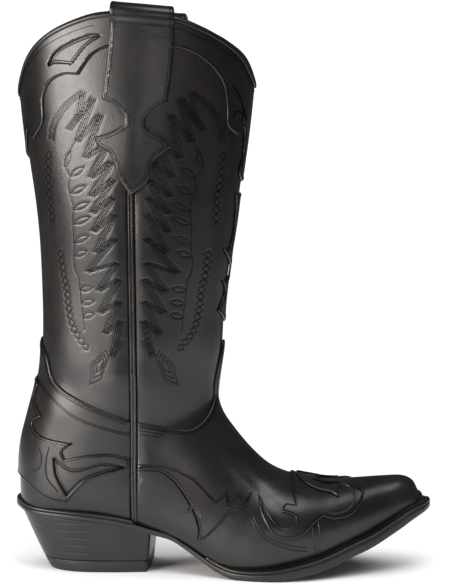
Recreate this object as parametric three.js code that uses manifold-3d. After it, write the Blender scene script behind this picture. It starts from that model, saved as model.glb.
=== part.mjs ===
// Right-foot cowboy boot as an assembly of separate pieces.
// Millimetres, +Z up, +X towards the toe, -Y towards the outer side.
// The origin is on the floor, under the middle of the heel.
import * as THREE from 'three';
import * as BufferGeometryUtils from 'three/addons/utils/BufferGeometryUtils.js';
import Module from 'manifold-3d';

const wasm = await Module();
wasm.setup();

// ---------------------------------------------------------------- driving sizes
const GAP = 0.3; // kept between pieces that touch
const FAR = 480; // beyond the boot in every direction
const SIDE_REACH = FAR / 4; // beyond the boot to either side
const UNDER = -10; // below the floor
const SEGMENTS = 20; // facets round the leg and foot

// Layers of leather, as distances outwards from the last surface.
const LAYER = {
  strapInside: [-5.0, -3.5],
  lining: [-3.2, -2.2],
  body: [-1.6, 0],
  foot: [0.3, 1.7],
  shaftOverlay: [0.3, 1.5],
  footOverlay: [2.0, 3.2],
  strapOutside: [2.1, 3.6],
  sideWelt: [-1.6, 1.8],
};
const INSOLE_CLEAR = -3.6; // what lies inside the lining
const WELT_CLEAR = 2.0; // what goes round the lasted upper

const WELT_THICK = 2.7;
const RAND_THICK = 2.6;
const WELT_HEEL_END = 76;
const HEEL_BREAST_TOP = 37.5;
const TOP_LIFT_THICK = 8.2;
const SOLE_TOP = 90; // higher than any part of the sole

const HEEL = { // at the floor and at the seat
  height: 46,
  back: [-36.5, -58.5],
  breast: [34, 38.5],
  half: [26.5, 32.2],
  widestX: -4,
  backCurve: 0.9,
  roundness: 0.86,
  breastCorner: 0.86, // half widths
  sideBulge: 0.965,
  levels: 6,
};

const SEAM_X = 26; // side seam, upright up to SEAM_LEAN_Z
const SEAM_LEAN_Z = 262;
const SEAM_LEAN = 0.074;
const SIDE_WELT_HALF = 2.0;

const RIM_RINGS_FROM = 21; // station above which the rings rise to the top line
const BINDING = { half: 2.2, height: 1.5, lift: 0.9, jointAngle: 84, jointGap: 0.03 };
const BINDING_PROFILE = [[-1, 0], [-0.75, 1], [0.75, 1], [1, 0], [0.9, -0.1], [-0.9, -0.1]];

const STRAP = {
  inner: 4.4, // loop radii about the hinge line
  outer: 5.9,
  drop: 2.6, // from the hinge line to the tops of the tabs
  insideBottom: 335, // lower end of the tab stitched to the lining
  insideNarrow: 1.5,
  topShift: 0.4,
  from: new THREE.Vector3(15, -45.5, 383.4),
  to: new THREE.Vector3(56, -43.9, 380.0),
};

// Stations of the last and leg, from the toe tip to above the rim. Each has a point on
// the front or top line, a point on the back or sole line, half width, sideways shift,
// where along the line it is widest, and the roundness of its front and of its back.
const STATIONS = [
  [219.5, 53.0, 221.0, 41.0, 5.0, 6.0, 0.45, 2.0, 2.8],
  [215.8, 60.2, 217.0, 38.0, 9.0, 6.0, 0.42, 2.0, 3.2],
  [208.6, 63.4, 209.0, 33.5, 13.0, 5.8, 0.41, 2.0, 3.4],
  [195.6, 63.0, 194.5, 25.3, 18.8, 5.0, 0.38, 2.0, 3.5],
  [178.0, 61.6, 175.0, 17.0, 27.0, 3.8, 0.36, 2.0, 3.6],
  [160.0, 60.6, 153.0, 8.4, 35.3, 2.2, 0.35, 2.0, 3.6],
  [143.6, 62.4, 131.0, 3.2, 40.3, 0.6, 0.35, 2.0, 3.6],
  [129.3, 66.0, 107.0, 0.1, 40.8, -1.0, 0.36, 1.95, 3.6],
  [116.2, 72.4, 83.0, 3.0, 37.3, -2.0, 0.37, 1.9, 3.6],
  [104.0, 83.2, 58.0, 19.8, 33.3, -2.0, 0.37, 1.9, 3.6],
  [92.9, 96.0, 32.0, 29.5, 31.6, -1.2, 0.39, 1.95, 3.8],
  [84.4, 107.8, 2.0, 35.8, 31.6, -0.5, 0.42, 2.0, 4.2],
  [80.7, 118.0, -30.0, 38.0, 32.0, 0, 0.43, 2.05, 4.2],
  [80.9, 126.4, -52.5, 42.5, 32.5, 0, 0.44, 2.1, 3.0],
  [81.8, 134.8, -56.2, 68.0, 33.0, 0, 0.46, 2.15, 2.5],
  [83.0, 144.0, -54.8, 89.0, 33.6, 0, 0.48, 2.2, 2.3],
  [84.2, 154.0, -49.6, 110.0, 34.6, 0, 0.49, 2.2, 2.2],
  [85.0, 166.0, -43.8, 132.0, 35.8, 0, 0.5, 2.2, 2.2],
  [86.0, 182.0, -41.0, 158.0, 37.2, 0, 0.5, 2.2, 2.2],
  [88.0, 203.0, -40.4, 188.0, 38.8, 0, 0.5, 2.2, 2.2],
  [91.2, 230.0, -42.0, 222.0, 41.0, 0, 0.5, 2.2, 2.2],
  [96.0, 262.0, -45.4, 258.0, 43.0, 0, 0.5, 2.25, 2.25],
  [101.2, 298.0, -50.2, 296.0, 44.6, 0, 0.5, 2.3, 2.3],
  [105.0, 334.0, -54.0, 334.0, 45.5, 0, 0.5, 2.3, 2.3],
  [107.5, 370.0, -55.6, 370.0, 46.0, 0, 0.5, 2.3, 2.3],
  [109.0, 405.0, -56.0, 405.0, 46.0, 0, 0.5, 2.3, 2.3],
];
const RINGS = [0, 0.6, 1.5, 2.7, 4, 5.3, 6.6, 8, 9.2, 10.4, 11.5, 12.4, 13.3, 14.4, 15.8, 17.3, 19.2];

// Top of the outsole, seen from the side, from the heel to the toe.
const SEAT_LINE = [
  [-64, 47.4], [-57, 46.5], [-44, 43.2], [-12, 41.2], [16, 37.5], [38, 31.6], [51, 28],
  [62, 21.4], [71.5, 15.4], [81, 9.6], [91, 5.8], [101, 4.8], [112, 5], [126, 6.4],
  [142, 9.7], [158, 14], [175, 21], [190, 27.2], [208, 37.4], [219, 43.4], [240, 51],
];
// Underside of the outsole.
const TREAD_LINE = [
  [-64, 44], [-57, 43], [-44, 39.8], [-12, 37.8], [16, 34], [38, 28], [51, 24.4],
  [62, 17.8], [71.5, 11.6], [81, 5.6], [91, 1.2], [101, 0], [118, 0], [130, 1.1],
  [142, 3.2], [158, 7.2], [175, 14.2], [190, 20.4], [208, 31], [219, 38], [240, 49],
];
// Outline of the outsole from above: outer side, toe, inner side, heel.
const SOLE_OUTLINE = [
  [-60.5, 0], [-57, -14], [-45, -26], [-22, -32], [6, -32.8], [32, -31.5], [58, -32],
  [80, -37.5], [100, -43.5], [122, -46.3], [144, -43.5], [162, -37], [180, -29], [198, -21],
  [214, -13.5], [225.5, -5], [229.5, 6], [225, 17], [213, 25.5], [198, 31.5], [180, 37],
  [160, 41.5], [140, 44], [118, 44.5], [98, 40.5], [80, 34.5], [58, 29.5], [32, 29.5],
  [6, 32], [-22, 32], [-45, 26], [-57, 14],
];
// Edges of the top pieces, seen from the side.
const TOP_LINE = [
  [-55, 326], [-51, 338.5], [-43, 356], [-28, 369.5], [-4, 379.5], [14.5, 382.4], [36, 382.8],
  [56, 379.2], [70, 374], [84, 366.5], [97, 355.5], [104, 340], [107, 328],
];
const VAMP_LINE = [
  [[20, 108], [30.6, 105.6], [56, 100.2], [66, 101], [74, 107.5], [78.9, 119], [79.5, 131]],
  [[79.5, 131], [84.2, 136.5], [84.9, 147], [92, 164]],
];
const COUNTER_LINE = [
  [[-50, 172], [-35.5, 150.8], [-28.6, 133.1], [-8.3, 120.6], [16.4, 110], [30, 104.5]],
];
const FRONT_LAP = [[[20, 97.5], [56, 90], [71, 92.5], [80, 101], [96, 128]]];
const BACK_LAP = [[[-70, 152], [-40, 137], [-31, 125], [-10, 111], [30, 95]]];
const FRONT_LINING_EDGE = [[[20, 84], [56, 79], [74, 84], [100, 112]]];
const BACK_LINING_EDGE = [[[-70, 128], [-42, 114], [-10, 96], [30, 83]]];
const STIFFENER_TOP = [[[-70, 134], [-42, 124], [-30, 112], [-10, 102], [16, 93]]];

// ---------------------------------------------------------------- shape helpers
function solidOf(geometry) {
  const bare = geometry.clone();
  bare.deleteAttribute('normal');
  bare.deleteAttribute('uv');
  const merged = BufferGeometryUtils.mergeVertices(bare, 1e-4);
  return new wasm.Manifold(new wasm.Mesh({
    numProp: 3,
    vertProperties: new Float32Array(merged.attributes.position.array),
    triVerts: new Uint32Array(merged.index.array),
  }));
}

function geometryOf(solid) {
  const mesh = solid.getMesh();
  const geometry = new THREE.BufferGeometry();
  geometry.setAttribute('position', new THREE.BufferAttribute(new Float32Array(mesh.vertProperties), 3));
  geometry.setIndex(new THREE.BufferAttribute(new Uint32Array(mesh.triVerts), 1));
  return geometry;
}

// Points through one or more smooth stretches that meet at corners.
function drawn(stretches, steps = 2) {
  const points = [];
  for (const stretch of stretches) {
    const curve = new THREE.SplineCurve(stretch.map(([x, y]) => new THREE.Vector2(x, y)));
    points.push(...curve.getPoints(stretch.length > 2 ? (stretch.length - 1) * steps : 1).slice(0, -1));
    if (stretch === stretches[stretches.length - 1]) points.push(curve.getPoint(1));
  }
  if (points[0].distanceTo(points[points.length - 1]) < 1e-6) points.pop();
  return points.map((p) => [p.x, p.y]);
}

// A block with a side-view outline, reaching from yFrom to yTo.
function sideBlock(outline, yFrom = -SIDE_REACH, yTo = SIDE_REACH) {
  const shape = new THREE.Shape(outline.map(([x, z]) => new THREE.Vector2(x, z)));
  const geometry = new THREE.ExtrudeGeometry(shape, { depth: yTo - yFrom, bevelEnabled: false });
  geometry.rotateX(Math.PI / 2);
  geometry.translate(0, yTo, 0);
  return solidOf(geometry);
}

function planBlock(outline, zFrom, zTo) {
  const shape = new THREE.Shape(outline.map(([x, y]) => new THREE.Vector2(x, y)));
  const geometry = new THREE.ExtrudeGeometry(shape, { depth: zTo - zFrom, bevelEnabled: false });
  geometry.translate(0, 0, zFrom);
  return solidOf(geometry);
}

const raised = (line, dz) => line.map(([x, z]) => [x, z + dz]);
const above = (line, dz = 0) => sideBlock([...raised(line, dz), [FAR, FAR], [-FAR, FAR]]);
const below = (line, dz = 0) => sideBlock([...raised(line, dz), [FAR, -FAR], [-FAR, -FAR]]);
const between = (low, lowUp, high, highUp) =>
  sideBlock([...raised(low, lowUp), ...raised(high, highUp).reverse()]);

function heightOn(line, x) {
  const i = line.findIndex(([px]) => px >= x);
  const [x0, z0] = line[i - 1];
  const [x1, z1] = line[i];
  return z0 + ((z1 - z0) * (x - x0)) / (x1 - x0);
}

const seamX = (z) => SEAM_X + Math.max(0, z - SEAM_LEAN_Z) * SEAM_LEAN;
const seamLine = (shift) => [UNDER, SEAM_LEAN_Z, FAR].map((z) => [seamX(z) + shift, z]);
const PANEL_HALF = SIDE_WELT_HALF + GAP;
const frontOfSeam = () => sideBlock([...seamLine(PANEL_HALF), [FAR, FAR], [FAR, UNDER]]);
const backOfSeam = () => sideBlock([...seamLine(-PANEL_HALF), [-FAR, FAR], [-FAR, UNDER]]);
const onSeam = () => sideBlock([...seamLine(SIDE_WELT_HALF), ...seamLine(-SIDE_WELT_HALF).reverse()]);

// ---------------------------------------------------------------- the last surface
function station(v) {
  const last = STATIONS.length - 1;
  const i = Math.min(Math.floor(v), last - 1);
  const u = v - i;
  const at = (k) => STATIONS[Math.max(0, Math.min(last, k))];
  return STATIONS[i].map((_, c) => {
    const p1 = at(i)[c];
    const p2 = at(i + 1)[c];
    const p0 = i === 0 ? 2 * p1 - p2 : at(i - 1)[c];
    const p3 = i === last - 1 ? 2 * p2 - p1 : at(i + 2)[c];
    const cubic = (3 * p1 - p0 - 3 * p2 + p3) * u ** 3;
    return 0.5 * (2 * p1 + (p2 - p0) * u + (2 * p0 - 5 * p1 + 4 * p2 - p3) * u * u + cubic);
  });
}

// angle 0 is the front or top line, 90 degrees the outer side, 180 the back or sole.
function lastPoint(v, angle, off) {
  const [fx, fz, bx, bz, half, shift, widest, frontRound, backRound] = station(v);
  const length = Math.hypot(fx - bx, fz - bz);
  const ax = (fx - bx) / length;
  const az = (fz - bz) / length;
  const c = Math.cos(angle);
  const s = Math.sin(angle);
  const power = 2 / (c >= 0 ? frontRound : backRound);
  const reach = (c >= 0 ? (1 - widest) * length : widest * length) + off;
  const along = Math.sign(c) * Math.abs(c) ** power * reach + widest * length;
  const across = Math.sign(s) * Math.abs(s) ** power * Math.max(half + off, 0.3);
  const tip = off * Math.max(0, 1 - v / 3);
  return new THREE.Vector3(bx + ax * along + tip, shift - across, bz + az * along);
}

const TOP_CURVE = drawn([TOP_LINE], 3);

function topHeight(x) {
  const first = TOP_CURVE[0];
  const end = TOP_CURVE[TOP_CURVE.length - 1];
  if (x <= first[0]) return first[1];
  if (x >= end[0]) return end[1];
  return heightOn(TOP_CURVE, x);
}

// The station where the surface reaches the top line.
function rimStation(angle, off) {
  let low = RIM_RINGS_FROM;
  let high = STATIONS.length - 1;
  for (let k = 0; k < 30; k += 1) {
    const mid = (low + high) / 2;
    const p = lastPoint(mid, angle, off);
    if (p.z < topHeight(p.x)) low = mid;
    else high = mid;
  }
  return low;
}

// The whole boot as a solid sock at a distance from the last; rise lifts its rim.
function sock(off, rise = 0) {
  const rimSteps = [0, 0.55, 1];
  const rings = [];
  for (const v of RINGS) rings.push(() => v);
  for (const step of rimSteps) {
    rings.push((angle) => THREE.MathUtils.lerp(RIM_RINGS_FROM, rimStation(angle, 0), step));
  }
  if (rise > 0) rings.push((angle) => rimStation(angle, 0) + rise);
  const position = [];
  const index = [];
  rings.forEach((ringStation) => {
    for (let j = 0; j < SEGMENTS; j += 1) {
      const angle = (2 * Math.PI * j) / SEGMENTS;
      position.push(...lastPoint(ringStation(angle), angle, off).toArray());
    }
  });
  const id = (i, j) => i * SEGMENTS + (j % SEGMENTS);
  for (let i = 0; i < rings.length - 1; i += 1) {
    for (let j = 0; j < SEGMENTS; j += 1) {
      index.push(id(i, j), id(i + 1, j), id(i + 1, j + 1));
      index.push(id(i, j), id(i + 1, j + 1), id(i, j + 1));
    }
  }
  const capWith = (ring, flip) => {
    const centre = position.length / 3;
    const sum = new THREE.Vector3();
    for (let j = 0; j < SEGMENTS; j += 1) {
      sum.add(new THREE.Vector3().fromArray(position, 3 * id(ring, j)));
    }
    position.push(...sum.divideScalar(SEGMENTS).toArray());
    for (let j = 0; j < SEGMENTS; j += 1) {
      if (flip) index.push(centre, id(ring, j), id(ring, j + 1));
      else index.push(centre, id(ring, j + 1), id(ring, j));
    }
  };
  capWith(0, true);
  capWith(rings.length - 1, false);
  const geometry = new THREE.BufferGeometry();
  geometry.setAttribute('position', new THREE.Float32BufferAttribute(position, 3));
  geometry.setIndex(index);
  return solidOf(geometry);
}

const OPEN_RISE = 0.5; // stations by which an inside sock stands above the rim
const aboveSeat = above(SEAT_LINE, GAP);

// A layer of the upper, open at the top and cut off at the sole.
function layer([inside, outside]) {
  return sock(outside).subtract(sock(inside, OPEN_RISE)).intersect(aboveSeat);
}

// ---------------------------------------------------------------- materials
const plain = (color, roughness, metalness = 0) =>
  new THREE.MeshStandardMaterial({ color, roughness, metalness });
const MATERIAL = {
  black: plain(0x191817, 0.45),
  overlay: plain(0x161514, 0.4),
  lining: plain(0xb08a5e, 0.7),
  stiff: plain(0xa58a63, 0.8),
  sole: plain(0x1b1816, 0.5),
  rubber: plain(0x121212, 0.8),
  cork: plain(0x8a6240, 0.95),
  steel: plain(0x8c8f92, 0.35, 1),
};

const boot = new THREE.Group();

function addPiece(name, shape, material) {
  const geometry = shape instanceof THREE.BufferGeometry ? shape : geometryOf(shape);
  const mesh = new THREE.Mesh(geometry, MATERIAL[material]);
  mesh.name = name;
  boot.add(mesh);
}

// ---------------------------------------------------------------- sole and heel
function closedCurve(points, count) {
  const curve = new THREE.CatmullRomCurve3(points.map(([x, y]) => new THREE.Vector3(x, y, 0)), true);
  return curve.getPoints(count).slice(0, -1).map((p) => [p.x, p.y]);
}

const soleOutline = closedCurve(SOLE_OUTLINE, 48);
const solePlan = () => planBlock(soleOutline, UNDER, SOLE_TOP);
const outsideUpper = sock(WELT_CLEAR);
const insideUpper = sock(INSOLE_CLEAR, OPEN_RISE);
const forwardOf = (x) => sideBlock([[x, -FAR], [FAR, -FAR], [FAR, FAR], [x, FAR]]);
const behind = (x) => sideBlock([[-FAR, -FAR], [x, -FAR], [x, FAR], [-FAR, FAR]]);

const NAIL = {
  radius: 1.2,
  length: 24,
  headRadius: 2.8,
  headHeight: 1.1,
  headUp: 0.7, // underside of the head over the outsole
  overlap: 0.5, // of the pin into the head
  sides: 10,
};
const NAILS = [[-34.5, 0], [-20, -15], [-20, 15], [10, -17], [10, 17]];

function nailSolid([x, y], grow) {
  const top = heightOn(SEAT_LINE, x) + NAIL.headUp;
  const radius = NAIL.radius + grow;
  const length = NAIL.length + grow;
  const pin = new THREE.CylinderGeometry(radius, radius, length, NAIL.sides);
  pin.rotateX(Math.PI / 2);
  pin.translate(x, y, top - length / 2 + NAIL.overlap);
  const head = new THREE.CylinderGeometry(NAIL.headRadius, NAIL.headRadius, NAIL.headHeight, NAIL.sides);
  head.rotateX(Math.PI / 2);
  head.translate(x, y, top + NAIL.headHeight / 2);
  return grow > 0 ? solidOf(pin) : solidOf(pin).add(solidOf(head));
}

function drillNails(solid) {
  return NAILS.reduce((rest, place) => rest.subtract(nailSolid(place, GAP)), solid);
}

function addSole() {
  const outsole = solePlan().intersect(between(TREAD_LINE, 0, SEAT_LINE, 0));
  addPiece('outsole', drillNails(outsole), 'sole');
  const weltBand = between(SEAT_LINE, GAP, SEAT_LINE, GAP + WELT_THICK);
  const welt = solePlan().intersect(weltBand).intersect(forwardOf(WELT_HEEL_END));
  addPiece('welt', welt.subtract(outsideUpper), 'sole');
  const randBand = between(SEAT_LINE, GAP, SEAT_LINE, GAP + RAND_THICK);
  const rand = solePlan().intersect(randBand).intersect(behind(HEEL_BREAST_TOP));
  addPiece('heel_rand', rand.subtract(outsideUpper), 'sole');
}

// Heel outline at a height: a flat breast, and sides running into a round back.
function heelOutline(z) {
  const t = z / HEEL.height;
  const back = THREE.MathUtils.lerp(...HEEL.back, t ** HEEL.backCurve);
  const breast = THREE.MathUtils.lerp(...HEEL.breast, t);
  const half = THREE.MathUtils.lerp(...HEEL.half, t);
  const backSteps = 9;
  const side = [[breast, HEEL.breastCorner * half], [(breast + HEEL.widestX) / 2, HEEL.sideBulge * half]];
  for (let k = 0; k < backSteps; k += 1) {
    const a = (Math.PI / 2) * (k / backSteps);
    const x = HEEL.widestX + (back - HEEL.widestX) * Math.sin(a) ** HEEL.roundness;
    side.push([x, half * Math.cos(a) ** HEEL.roundness]);
  }
  const mirrored = side.map(([x, y]) => [x, -y]).reverse();
  return [...side, [back, 0], ...mirrored];
}

function heelLoft(zFrom, zTo, levels) {
  const outlines = [];
  for (let i = 0; i <= levels; i += 1) {
    const z = zFrom + ((zTo - zFrom) * i) / levels;
    outlines.push(heelOutline(z).map(([x, y]) => [x, y, z]));
  }
  const count = outlines[0].length;
  const position = outlines.flat(2);
  const index = [];
  for (let i = 0; i < levels; i += 1) {
    for (let j = 0; j < count; j += 1) {
      const a = i * count + j;
      const b = i * count + ((j + 1) % count);
      index.push(a, b, b + count, a, b + count, a + count);
    }
  }
  const flat = outlines[0].map(([x, y]) => new THREE.Vector2(x, y));
  for (const [a, b, c] of THREE.ShapeUtils.triangulateShape(flat, [])) {
    index.push(a, c, b);
    const up = levels * count;
    index.push(up + a, up + b, up + c);
  }
  const geometry = new THREE.BufferGeometry();
  geometry.setAttribute('position', new THREE.Float32BufferAttribute(position, 3));
  geometry.setIndex(index);
  return solidOf(geometry);
}

function addHeel() {
  const stack = heelLoft(TOP_LIFT_THICK + GAP, HEEL.height + 4, HEEL.levels);
  const heel = stack.intersect(below(TREAD_LINE, -GAP));
  addPiece('heel_block', drillNails(heel), 'sole');
  addPiece('top_lift', heelLoft(0, TOP_LIFT_THICK, 1), 'rubber');
  NAILS.forEach((place, i) => addPiece(`heel_nail_${i + 1}`, nailSolid(place, 0), 'steel'));
}

// ---------------------------------------------------------------- inside the bottom
const SHANK = { from: -30, to: 92, half: 7, thick: 1.3 };
const FILLER = { from: 44, to: 208, thick: 2.0, half: 60 };
const INSOLE = [2.6, 5.0]; // heights over the outsole
const SOCK_LINER = [5.3, 6.3];
const TOE_PUFF_EDGE = [[163, UNDER], [168, SOLE_TOP]];
const STIFFENER_FRONT = 16;

function stripOnSeat(from, to, up, thick, half) {
  const xs = [from, ...SEAT_LINE.map(([x]) => x).filter((x) => x > from && x < to), to];
  const line = xs.map((x) => [x, heightOn(SEAT_LINE, x)]);
  return sideBlock([...raised(line, up), ...raised(line, up + thick).reverse()], -half, half);
}

function addBottomInside() {
  addPiece('shank', stripOnSeat(SHANK.from, SHANK.to, GAP, SHANK.thick, SHANK.half), 'steel');
  const slot = stripOnSeat(SHANK.from - 1, SHANK.to + GAP, -1, FILLER.thick + 2, SHANK.half + GAP);
  const filler = stripOnSeat(FILLER.from, FILLER.to, GAP, FILLER.thick, FILLER.half).intersect(insideUpper);
  addPiece('bottom_filler', filler.subtract(slot), 'cork');
  const insole = between(SEAT_LINE, INSOLE[0], SEAT_LINE, INSOLE[1]).intersect(insideUpper);
  addPiece('insole', insole, 'stiff');
  const liner = between(SEAT_LINE, SOCK_LINER[0], SEAT_LINE, SOCK_LINER[1]).intersect(insideUpper);
  addPiece('sock_liner', liner, 'lining');
}

// ---------------------------------------------------------------- upper
function addUpper() {
  const body = layer(LAYER.body);
  const foot = layer(LAYER.foot);
  const lining = layer(LAYER.lining);
  const front = frontOfSeam();
  const back = backOfSeam();

  addPiece('shaft_front', body.intersect(front).intersect(above(drawn(FRONT_LAP))), 'black');
  addPiece('shaft_back', body.intersect(back).intersect(above(drawn(BACK_LAP))), 'black');
  addPiece('vamp', foot.intersect(front).intersect(below(drawn(VAMP_LINE))), 'black');
  addPiece('counter', foot.intersect(back).intersect(below(drawn(COUNTER_LINE))), 'black');

  const puffArea = sideBlock([...TOE_PUFF_EDGE, [FAR, SOLE_TOP], [FAR, UNDER]]);
  addPiece('toe_puff', body.intersect(puffArea), 'stiff');
  const stiffenerArea = below(drawn(STIFFENER_TOP)).intersect(behind(STIFFENER_FRONT));
  addPiece('heel_stiffener', body.intersect(stiffenerArea), 'stiff');

  const frontLining = lining.intersect(frontOfSeamLining(true));
  const backLining = lining.intersect(frontOfSeamLining(false));
  const frontEdge = drawn(FRONT_LINING_EDGE);
  const backEdge = drawn(BACK_LINING_EDGE);
  addPiece('shaft_lining_front', frontLining.intersect(above(frontEdge, GAP)), 'lining');
  addPiece('vamp_lining', frontLining.intersect(below(frontEdge)), 'lining');
  addPiece('shaft_lining_back', backLining.intersect(above(backEdge, GAP)), 'lining');
  addPiece('counter_lining', backLining.intersect(below(backEdge)), 'lining');

  const strip = layer(LAYER.sideWelt).intersect(onSeam());
  addPiece('side_welt_outer', strip.intersect(sideHalf(-1)), 'black');
  addPiece('side_welt_inner', strip.intersect(sideHalf(1)), 'black');
}

function frontOfSeamLining(isFront) {
  const side = isFront ? 1 : -1;
  return sideBlock([...seamLine((side * GAP) / 2), [side * FAR, FAR], [side * FAR, UNDER]]);
}

function sideHalf(side) {
  const box = [[-FAR, UNDER], [FAR, UNDER], [FAR, FAR], [-FAR, FAR]];
  return side < 0 ? sideBlock(box, -SIDE_REACH, 0) : sideBlock(box, 0, SIDE_REACH);
}

// ---------------------------------------------------------------- top binding
function bindingSolid(fromAngle, toAngle) {
  const turn = (2 * Math.PI) / SEGMENTS;
  const angles = [fromAngle];
  for (let a = Math.ceil(fromAngle / turn) * turn; a < toAngle; a += turn) angles.push(a);
  angles.push(toAngle);
  const steps = angles.length - 1;
  const position = [];
  const index = [];
  for (let i = 0; i <= steps; i += 1) {
    const angle = angles[i];
    const v = rimStation(angle, 0);
    const inner = lastPoint(v, angle, LAYER.lining[0]);
    const outer = lastPoint(v, angle, LAYER.shaftOverlay[1]);
    const centre = inner.clone().add(outer).multiplyScalar(0.5);
    const outward = outer.clone().sub(inner).setZ(0).normalize();
    for (const [across, up] of BINDING_PROFILE) {
      const p = centre.clone().addScaledVector(outward, across * BINDING.half);
      p.z += BINDING.lift + up * BINDING.height;
      position.push(...p.toArray());
    }
  }
  const n = BINDING_PROFILE.length;
  for (let i = 0; i < steps; i += 1) {
    for (let j = 0; j < n; j += 1) {
      const a = i * n + j;
      const b = i * n + ((j + 1) % n);
      index.push(a, b + n, b, a, a + n, b + n);
    }
  }
  const end = steps * n;
  for (let j = 1; j < n - 1; j += 1) {
    index.push(0, j, j + 1);
    index.push(end, end + j + 1, end + j);
  }
  const geometry = new THREE.BufferGeometry();
  geometry.setAttribute('position', new THREE.Float32BufferAttribute(position, 3));
  geometry.setIndex(index);
  return solidOf(geometry);
}

function addBindings() {
  const side = THREE.MathUtils.degToRad(BINDING.jointAngle);
  const backFrom = side + BINDING.jointGap;
  addPiece('topline_binding_front', bindingSolid(-side, side), 'black');
  addPiece('topline_binding_back', bindingSolid(backFrom, 2 * Math.PI - backFrom), 'black');
}

// ---------------------------------------------------------------- overlays
const COLLAR_BACK = [
  [[40, 362], [14.7, 360.5], [2.2, 355.1], [-7.9, 342]],
  [[-7.9, 342], [-19, 342], [-29, 336.5], [-33.3, 326], [-33.6, 311.4], [-41.3, 299.2]],
  [[-41.3, 299.2], [-47, 305], [-50, 284]],
  [[-50, 284], [-80, 270]],
  [[-80, 270], [-80, 420]],
  [[-80, 420], [40, 420]],
];
const COLLAR_BACK_WINDOW = [
  [[-29.5, 348.2], [-22.4, 358.3], [-2.9, 367.2], [7.4, 368.1]],
  [[7.4, 368.1], [-3, 361], [-12.6, 349.6]],
  [[-12.6, 349.6], [-24, 350.5], [-29.5, 348.2]],
];
const COLLAR_FRONT = [
  [[20, 366], [57, 360], [74, 352], [86, 338], [89, 322], [89.7, 308], [95.5, 302]],
  [[95.5, 302], [99.7, 306.6], [99, 290], [97, 271]],
  [[97, 271], [140, 262]],
  [[140, 262], [140, 420]],
  [[140, 420], [20, 420]],
];
const SHIN_OVERLAY = [
  [[94, 262], [93.3, 249], [89.7, 226], [85.5, 223.9]],
  [[85.5, 223.9], [88.9, 214], [87.6, 203], [84.7, 202.3]],
  [[84.7, 202.3], [86.2, 194], [82.3, 181]],
  [[82.3, 181], [120, 174]],
  [[120, 174], [130, 262]],
  [[130, 262], [94, 262]],
];
const HEEL_OVERLAY = [
  [[-70, 140], [-42.3, 133], [-44, 120.3], [-37.1, 109.1]],
  [[-37.1, 109.1], [-43.2, 106], [-43.6, 100.9], [-36, 95.4], [-14.9, 91.7]],
  [[-14.9, 91.7], [-22, 86.5], [-20.4, 80.8]],
  [[-20.4, 80.8], [-8, 83.5], [8, 84.6], [23, 81.6]],
  [[23, 81.6], [23, 74.9]],
  [[23, 74.9], [5.3, 69.9], [-7, 64.5], [-19.3, 51]],
  [[-19.3, 51], [-34, 54.5], [-53, 66.4], [-80, 78]],
];
const HEEL_WINDOW = [
  [[-28.4, 82], [-16.3, 74], [-5.4, 75.6], [4, 78.2], [14, 77.4], [20, 75.4]],
  [[20, 75.4], [5.3, 71.8], [-8, 66.5], [-19, 55.5]],
  [[-19, 55.5], [-26.5, 69], [-28.4, 82]],
];
const VAMP_FLAME = [
  [[28.4, 77.6], [47, 76.5], [60, 71.5], [69, 65.7], [82.1, 52.8]],
  [[82.1, 52.8], [89.2, 59]],
  [[89.2, 59], [91.4, 50.7]],
  [[91.4, 50.7], [97, 58.4]],
  [[97, 58.4], [100.3, 52.7]],
  [[100.3, 52.7], [106.4, 58.9]],
  [[106.4, 58.9], [103.5, 51.5], [97.5, 47.2], [91.5, 45.4], [86.5, 39.5], [77.4, 30.2], [71.5, 27.5]],
  [[71.5, 27.5], [72, 36], [67, 47.9], [60.1, 58.6], [53.8, 66.7]],
  [[53.8, 66.7], [44, 73], [28.4, 74.5]],
];
const TOE_OVERLAY = [
  [[128, 80], [131, 66], [134, 56.5], [136.4, 49.5]],
  [[136.4, 49.5], [129, 50.2], [127.6, 45.6]],
  [[127.6, 45.6], [132.4, 44.6], [136.8, 42.4]],
  [[136.8, 42.4], [136.2, 38.4], [130.5, 35.9], [123.6, 38.4], [116.3, 46.6], [110.5, 57]],
  [[110.5, 57], [112.8, 45.5], [120.5, 33.5], [131, 29], [142, 31], [149, 37.5], [155.5, 42]],
  [[155.5, 42], [164, 39.9], [174, 41.8], [180.5, 47.5], [183.5, 54.5]],
  [[183.5, 54.5], [178, 57.5], [166, 59.2], [152, 61], [146, 80]],
  [[146, 80], [128, 80]],
];

const shaped = (stretches, steps = 2) => sideBlock(drawn(stretches, steps));

function addOverlays() {
  const onShaft = layer(LAYER.shaftOverlay);
  const onFoot = layer(LAYER.footOverlay);
  const collarBack = onShaft.intersect(backOfSeam()).intersect(shaped(COLLAR_BACK));
  addPiece('collar_back', collarBack.subtract(shaped(COLLAR_BACK_WINDOW)), 'overlay');
  addPiece('collar_front', onShaft.intersect(frontOfSeam()).intersect(shaped(COLLAR_FRONT)), 'overlay');
  addPiece('shin_overlay', onShaft.intersect(shaped(SHIN_OVERLAY)), 'overlay');
  const heel = onFoot.intersect(backOfSeam()).intersect(shaped(HEEL_OVERLAY));
  addPiece('heel_overlay', heel.subtract(shaped(HEEL_WINDOW)), 'overlay');
  const flame = onFoot.intersect(frontOfSeam()).intersect(shaped(VAMP_FLAME));
  addPiece('vamp_flame_outer', flame.intersect(sideHalf(-1)), 'overlay');
  addPiece('vamp_flame_inner', flame.intersect(sideHalf(1)), 'overlay');
  addPiece('toe_overlay', onFoot.intersect(shaped(TOE_OVERLAY)), 'overlay');
}

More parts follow.
